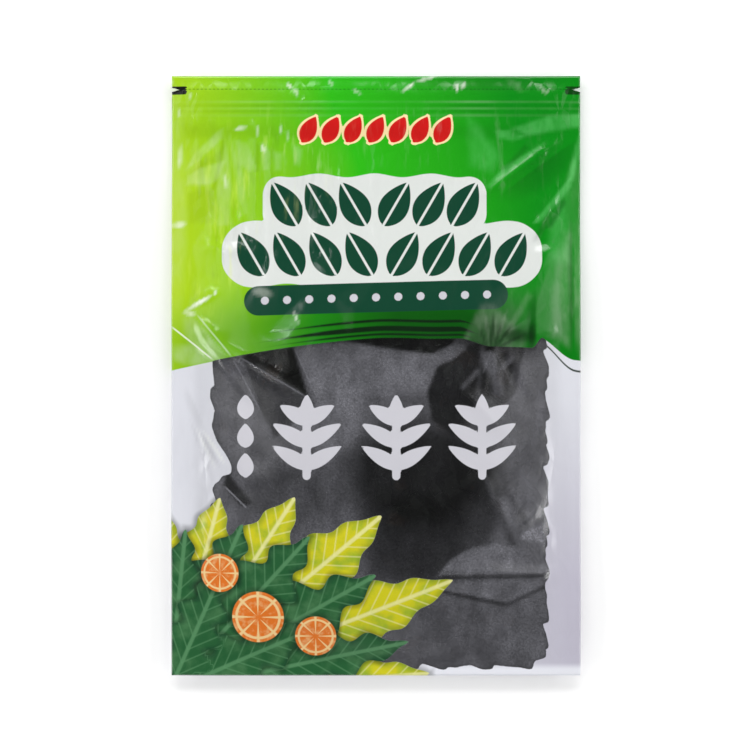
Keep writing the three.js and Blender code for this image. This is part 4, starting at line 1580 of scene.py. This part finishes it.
def wakame_material(wakame):
    """Dry near-black blades with brown midrib pieces, wrinkles and a dull sheen."""
    material, kit = new_material("dried_wakame")
    colour = kit.paint(tint(wakame.blade, BLADE_DARK), wakame.blade, kit.grain(BLADE_TONES))
    colour = kit.paint(colour, wakame.stem, kit.grain(STEM_PIECES))
    colour = kit.paint(colour, SALT, kit.grain(SALT_SPECKS))
    normal = kit.bump(kit.noise(BLADE_WRINKLES), strength=0.7, distance=0.0008)
    finish_material(kit, kit.principled(Base_Color=colour, Roughness=0.42, Normal=normal))
    return material


# Dried flakes

# The heap's outline and core, and the room that flakes leave to the films and the seals
HEAP_HALF_WIDTH = 57
HEAP_BOTTOM_Y = -97
HEAP_TOP_Y = 34
HEAP_CORNER_POWER = 4
CORE_COLUMNS = 48
CORE_ROWS = 56
FLAKE_LAYER = 3.4
BACK_CLEARANCE = 0.5
CORE_RIM = 0.8
CORE_LUMPS = 2
FILM_CLEARANCE = 0.4
SEAL_CLEARANCE = 2
# Scatter of the flakes: least and most turn and size, and the scale and share of each noise that bends them
FLAKE_LEAST_UPWARD = 0.2
FLAKE_DENSITY = 90000
FLAKE_GRID = (6, 4)
FLAKE_POINT = 0.7
FLAKE_TURNS = ((-0.5, -0.4, 0.0), (0.5, 0.4, 2 * math.pi))
FLAKE_SCALES = ((0.5, 0.4, 1.0), (1.5, 1.4, 1.0))
FLAKE_BENDS = ((60, 1), (210, 0.6))
NOISE_MIDDLE = (0.5, 0.5, 0.5)
MERGE_REACH = 1e-6


def heap_places():
    """Grid of places over the heap's outline, a square with full rounded corners."""
    across, along = np.meshgrid(np.linspace(-1, 1, CORE_COLUMNS + 1), np.linspace(-1, 1, CORE_ROWS + 1))
    power = HEAP_CORNER_POWER
    reach = (np.abs(across) ** power + np.abs(along) ** power) ** (1 / power)
    largest = np.maximum(np.abs(across), np.abs(along))
    shrink = np.where(reach > 0, largest / np.maximum(reach, TINY), 1)
    y = lerp(HEAP_BOTTOM_Y, HEAP_TOP_Y, (along * shrink + 1) / 2)
    return across * shrink * HEAP_HALF_WIDTH, y


def core_mesh(shape):
    x, y = heap_places()
    low = shape.back_outer(x, y) + shape.film + BACK_CLEARANCE
    high = shape.front_inner(x, y) - FLAKE_LAYER + CORE_LUMPS * lumps(x, y)
    high = np.maximum(low + CORE_RIM, high)
    return sheet_mesh("wakame_core", x, y, high, low)


def flake_points(kit, given):
    """Points over the upper side of the core."""
    normal = kit.first("GeometryNodeInputNormal")
    upward = kit.add("ShaderNodeSeparateXYZ", {0: normal}).outputs[2]
    inputs = {
        "Mesh": given["Geometry"],
        "Selection": kit.math("GREATER_THAN", upward, FLAKE_LEAST_UPWARD),
        "Distance Min": given["Spacing"],
        "Density Max": FLAKE_DENSITY,
        "Seed": given["Seed"],
    }
    scatter = kit.add("GeometryNodeDistributePointsOnFaces", inputs, distribute_method="POISSON")
    return scatter.outputs["Points"]


def flake_tree(material):
    """Nodes that scatter ragged, crumpled flakes over the upper side of a core."""
    tree = bpy.data.node_groups.new("wakame_flakes", "GeometryNodeTree")
    face = tree.interface
    face.new_socket(name="Geometry", in_out="INPUT", socket_type="NodeSocketGeometry")
    for name in ("Length", "Width", "Thickness", "Spacing", "Crumple"):
        face.new_socket(name=name, in_out="INPUT", socket_type="NodeSocketFloat")
    face.new_socket(name="Seed", in_out="INPUT", socket_type="NodeSocketInt")
    face.new_socket(name="Geometry", in_out="OUTPUT", socket_type="NodeSocketGeometry")
    kit = NodeKit(tree)
    given = kit.add("NodeGroupInput").outputs
    columns, rows = FLAKE_GRID
    sizes = {"Size X": given["Length"], "Size Y": given["Width"], "Vertices X": columns, "Vertices Y": rows}
    grid = kit.first("GeometryNodeMeshGrid", sizes)
    placing = {
        "Points": flake_points(kit, given),
        "Instance": pointed(kit, grid, given["Length"]),
        "Rotation": random_vector(kit, FLAKE_TURNS, given["Seed"]),
        "Scale": random_vector(kit, FLAKE_SCALES, kit.plus(given["Seed"], 1)),
    }
    placed = kit.first("GeometryNodeInstanceOnPoints", placing)
    flakes = kit.first("GeometryNodeRealizeInstances", {0: placed})
    for scale, share in FLAKE_BENDS:
        flakes = crumpled(kit, flakes, kit.times(given["Crumple"], share), scale)
    solid = thickened(kit, flakes, given["Thickness"])
    finished = kit.first("GeometryNodeSetMaterial", {"Geometry": solid, "Material": material})
    kit.add("NodeGroupOutput", {0: finished})
    return tree


def random_vector(kit, span, seed):
    low, high = span
    return kit.first("FunctionNodeRandomValue", {0: low, 1: high, "Seed": seed}, data_type="FLOAT_VECTOR")


def pointed(kit, geometry, length):
    """Narrows a flake towards both its ends."""
    place = kit.first("GeometryNodeInputPosition")
    east, north, up = kit.add("ShaderNodeSeparateXYZ", {0: place}).outputs
    share = kit.math("DIVIDE", east, kit.times(length, 0.5))
    narrowed = kit.minus(1, kit.times(kit.times(share, share), FLAKE_POINT))
    place = kit.first("ShaderNodeCombineXYZ", {0: east, 1: kit.times(north, narrowed), 2: up})
    return kit.first("GeometryNodeSetPosition", {"Geometry": geometry, "Position": place})


def crumpled(kit, geometry, reach, scale):
    """Moves points by a noise of their place."""
    inputs = {"Vector": kit.first("GeometryNodeInputPosition"), "Scale": scale, "Detail": 2}
    noise = kit.add("ShaderNodeTexNoise", inputs).outputs["Color"]
    centred = kit.first("ShaderNodeVectorMath", {0: noise, 1: NOISE_MIDDLE}, operation="SUBTRACT")
    offset = kit.first("ShaderNodeVectorMath", {0: centred, 3: reach}, operation="SCALE")
    return kit.first("GeometryNodeSetPosition", {"Geometry": geometry, "Offset": offset})


def thickened(kit, geometry, thickness):
    """A closed sheet of even thickness from an open one."""
    inputs = {"Mesh": geometry, "Offset Scale": thickness, "Individual": False}
    upper = kit.first("GeometryNodeExtrudeMesh", inputs)
    lower = kit.first("GeometryNodeFlipFaces", {"Mesh": geometry})
    joined = kit.add("GeometryNodeJoinGeometry")
    for part in (upper, lower):
        kit.put(joined.inputs[0], part)
    merging = {"Geometry": joined.outputs[0], "Distance": MERGE_REACH}
    return kit.first("GeometryNodeMergeByDistance", merging)


def flakes_mesh(shape, wakame, material):
    """The scattered flakes as a plain mesh."""
    core = new_piece("wakame_core", core_mesh(shape), [material])
    tree = flake_tree(material)
    modifier = core.modifiers.new("flakes", "NODES")
    modifier.node_group = tree
    values = {
        "Length": wakame.flake_length,
        "Width": wakame.flake_width,
        "Thickness": wakame.flake_thickness,
        "Spacing": wakame.flake_spacing,
        "Crumple": wakame.crumple,
        "Seed": wakame.seed,
    }
    for item in tree.interface.items_tree:
        if item.in_out == "INPUT" and item.name in values:
            modifier[item.identifier] = values[item.name]
    graph = bpy.context.evaluated_depsgraph_get()
    flakes = bpy.data.meshes.new_from_object(core.evaluated_get(graph))
    core.modifiers.remove(modifier)
    bare_core = core.data
    bpy.data.objects.remove(core)
    return flakes, bare_core


def settle(mesh, shape):
    """Presses the flakes to stay between the two films."""
    places = np.empty(len(mesh.vertices) * 3, np.float32)
    mesh.vertices.foreach_get("co", places)
    x, y, z = (places.reshape(-1, 3).T / MM).astype(float)
    reach = shape.inner_half - SEAL_CLEARANCE
    x = np.clip(x, -reach, reach)
    y = np.clip(y, shape.inner_bottom + SEAL_CLEARANCE, SLACK_Y)
    top = shape.front_inner(x, y) - FILM_CLEARANCE
    bottom = shape.back_outer(x, y) + shape.film + BACK_CLEARANCE / 2
    z = np.maximum(np.minimum(z, top), np.minimum(bottom, top))
    mesh.vertices.foreach_set("co", (np.stack([x, y, z], axis=-1) * MM).astype(np.float32).ravel())
    mesh.update()


# Operators

class POUCH_OT_front_film(Operator):
    """Build the printed front film with its window and creases"""

    bl_idname = "pouch.front_film"
    bl_label = "Front Film"

    def execute(self, context):
        shape = FilmShape(settings().sizes)
        x, y = film_places(FRONT_COLUMNS, FRONT_ROWS)
        inner = shape.front_inner(x, y)
        mesh = sheet_mesh("front_film_print", x, y, inner + shape.film, inner, lower_material=1)
        for name, values in (print_measures(x, y) | film_measures(x, y)).items():
            store(mesh, name, values)
        inks = settings().inks
        finishes = [printed_film_material(inks), film_lining_material(inks)]
        film = new_piece("front_film_print", mesh, finishes)
        hand_over(film, "front_film")
        return {"FINISHED"}


class POUCH_OT_back_film(Operator):
    """Build the back film, flat where it rests"""

    bl_idname = "pouch.back_film"
    bl_label = "Back Film"

    def execute(self, context):
        shape = FilmShape(settings().sizes)
        x, y = film_places(BACK_COLUMNS, BACK_ROWS)
        outer = shape.back_outer(x, y)
        mesh = sheet_mesh("back_film_plain", x, y, outer + shape.film, outer, upper_material=1)
        store(mesh, "field", field_height(x, y))
        inks = settings().inks
        finishes = [back_film_material(inks), dark_lining_material(inks)]
        film = new_piece("back_film_plain", mesh, finishes)
        hand_over(film, "back_film")
        return {"FINISHED"}


class POUCH_OT_zip_tracks(Operator):
    """Give the two zip tracks their plastic"""

    bl_idname = "pouch.zip_tracks"
    bl_label = "Zip Tracks"

    def execute(self, context):
        plastic = zip_material()
        for name in ("zip_rib_track", "zip_groove_track"):
            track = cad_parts[name]
            track.data.materials.clear()
            track.data.materials.append(plastic)
        return {"FINISHED"}


class POUCH_OT_dried_wakame(Operator):
    """Scatter the dried flakes over their heap, between the films"""

    bl_idname = "pouch.dried_wakame"
    bl_label = "Dried Wakame"

    def execute(self, context):
        shape = FilmShape(settings().sizes)
        wakame = settings().wakame
        material = wakame_material(wakame)
        flakes, core = flakes_mesh(shape, wakame, material)
        settle(flakes, shape)
        heap = new_piece("wakame_flakes", flakes, [])
        hand_over(heap, "dried_wakame")
        bed = new_piece("wakame_bed", core, [])
        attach(bed, "root")
        return {"FINISHED"}


# Stage, in metres: lights are aimed at the middle of the pouch
CAMERA_PLACE = (-0.00037, 0.00018, 0.7687)
CAMERA_LENS = 100
FLOOR_SIZE = 12
FLOOR_GRAIN = Grain(40, 2)
FLOOR_DIM = 0.985
WHITE = (1, 1, 1, 1)


class Softbox(NamedTuple):
    """An area light: place, size, share of the key power, and how far it fades in from its edges."""

    name: str
    place: tuple
    size: tuple
    power: float
    fade: tuple


# Shares of a softbox's width and height over which it fades in
LEVEL_FADE = (0.05, 0.35)
ROUND_FADE = (0.35, 0.35)
SOFTBOXES = (
    Softbox("left_softbox", (-1.9, 0.0, 0.85), (3.0, 0.7), 2.08, LEVEL_FADE),
    Softbox("right_softbox", (1.9, 0.0, 0.85), (3.0, 0.7), 2.15, LEVEL_FADE),
    Softbox("front_softbox", (0.0, -2.05, 0.6), (3.0, 0.6), 1.54, LEVEL_FADE),
    Softbox("rear_softbox", (0.0, 1.7, 1.15), (3.0, 1.1), 2.92, LEVEL_FADE),
    Softbox("high_left_softbox", (-1.0, 0.28, 1.4), (1.0, 1.0), 0.14, ROUND_FADE),
    Softbox("high_right_softbox", (1.15, 0.28, 1.35), (1.0, 0.9), 0.12, ROUND_FADE),
    Softbox("left_lamp", (-0.72, 0.7, 1.6), (0.07, 0.07), 0.075, ROUND_FADE),
)


def fade_edges(light, fade):
    """Lets a softbox fade out towards its four edges."""
    light.use_nodes = True
    kit = NodeKit(light.node_tree)
    place = kit.add("ShaderNodeNewGeometry").outputs["Parametric"]
    parts = kit.add("ShaderNodeSeparateXYZ", {0: place})
    fades = []
    for part, reach in zip(parts.outputs, fade):
        inward = kit.minus(0.5, kit.math("ABSOLUTE", kit.minus(part, 0.5)))
        fades.append(kit.spread(inward, 0, reach))
    lime_sheen = light.node_tree.nodes["Emission"]
    kit.put(lime_sheen.inputs["Strength"], kit.times(*fades))


def floor_mesh():
    mesh = bpy.data.meshes.new("floor")
    half = FLOOR_SIZE / 2
    corners = [(-half, -half, 0), (half, -half, 0), (half, half, 0), (-half, half, 0)]
    mesh.from_pydata(corners, [], [(0, 1, 2, 3)])
    return mesh


def floor_material(stage):
    material, kit = new_material("floor_paper")
    colour = kit.paint(stage.floor, tint(stage.floor, FLOOR_DIM), kit.noise(FLOOR_GRAIN))
    paper = kit.principled(Base_Color=colour, Roughness=0.9, Emission_Color=WHITE, Emission_Strength=0.14)
    finish_material(kit, paper)
    return material


def add_softbox(box, key):
    light = bpy.data.lights.new(box.name, "AREA")
    light.shape = "RECTANGLE"
    light.size, light.size_y = box.size
    light.energy = key * box.power
    fade_edges(light, box.fade)
    lamp = bpy.data.objects.new(box.name, light)
    bpy.context.scene.collection.objects.link(lamp)
    lamp.location = box.place
    towards = -lamp.location
    lamp.rotation_euler = towards.to_track_quat("-Z", "Y").to_euler()


class POUCH_OT_stage(Operator):
    """Set the floor, the light and the camera over the pouch"""

    bl_idname = "pouch.stage"
    bl_label = "Stage"

    def execute(self, context):
        scene = context.scene
        stage = settings().stage
        floor = new_piece("floor", floor_mesh(), [floor_material(stage)])
        world = bpy.data.worlds.new("studio")
        world.use_nodes = True
        background = world.node_tree.nodes["Background"]
        background.inputs["Color"].default_value = WHITE
        background.inputs["Strength"].default_value = stage.world
        scene.world = world
        for box in SOFTBOXES:
            add_softbox(box, stage.key)
        lens = bpy.data.cameras.new("camera")
        lens.lens = CAMERA_LENS
        camera = bpy.data.objects.new("camera", lens)
        camera.location = CAMERA_PLACE
        scene.collection.objects.link(camera)
        scene.camera = camera
        scene.view_settings.view_transform = "Standard"
        return {"FINISHED"}


class POUCH_PT_panel(Panel):
    """Lists what can be built, with its settings"""

    bl_label = "Dried Wakame Pouch"
    bl_idname = "POUCH_PT_panel"
    bl_space_type = "VIEW_3D"
    bl_region_type = "UI"
    bl_category = "Pouch"

    def draw(self, context):
        for operator in OPERATORS:
            self.layout.operator(operator.bl_idname)
        pouch = context.scene.wakame_pouch
        for group in (pouch.sizes, pouch.inks, pouch.wakame, pouch.stage):
            box = self.layout.box()
            for name in group.__annotations__:
                box.prop(group, name)


OPERATORS = (
    POUCH_OT_stage,
    POUCH_OT_back_film,
    POUCH_OT_zip_tracks,
    POUCH_OT_dried_wakame,
    POUCH_OT_front_film,
)
GROUPS = (PouchSizes, PrintInks, WakameSettings, StageSettings, PouchSettings)
CLASSES = (*GROUPS, *OPERATORS, POUCH_PT_panel)


def register():
    for cls in CLASSES:
        bpy.utils.register_class(cls)
    bpy.types.Scene.wakame_pouch = PointerProperty(type=PouchSettings)


def unregister():
    del bpy.types.Scene.wakame_pouch
    for cls in reversed(CLASSES):
        bpy.utils.unregister_class(cls)


def main():
    register()
    bpy.ops.pouch.stage()
    bpy.ops.pouch.back_film()
    bpy.ops.pouch.zip_tracks()
    bpy.ops.pouch.dried_wakame()
    bpy.ops.pouch.front_film()


if __name__ == "__main__":
    main()
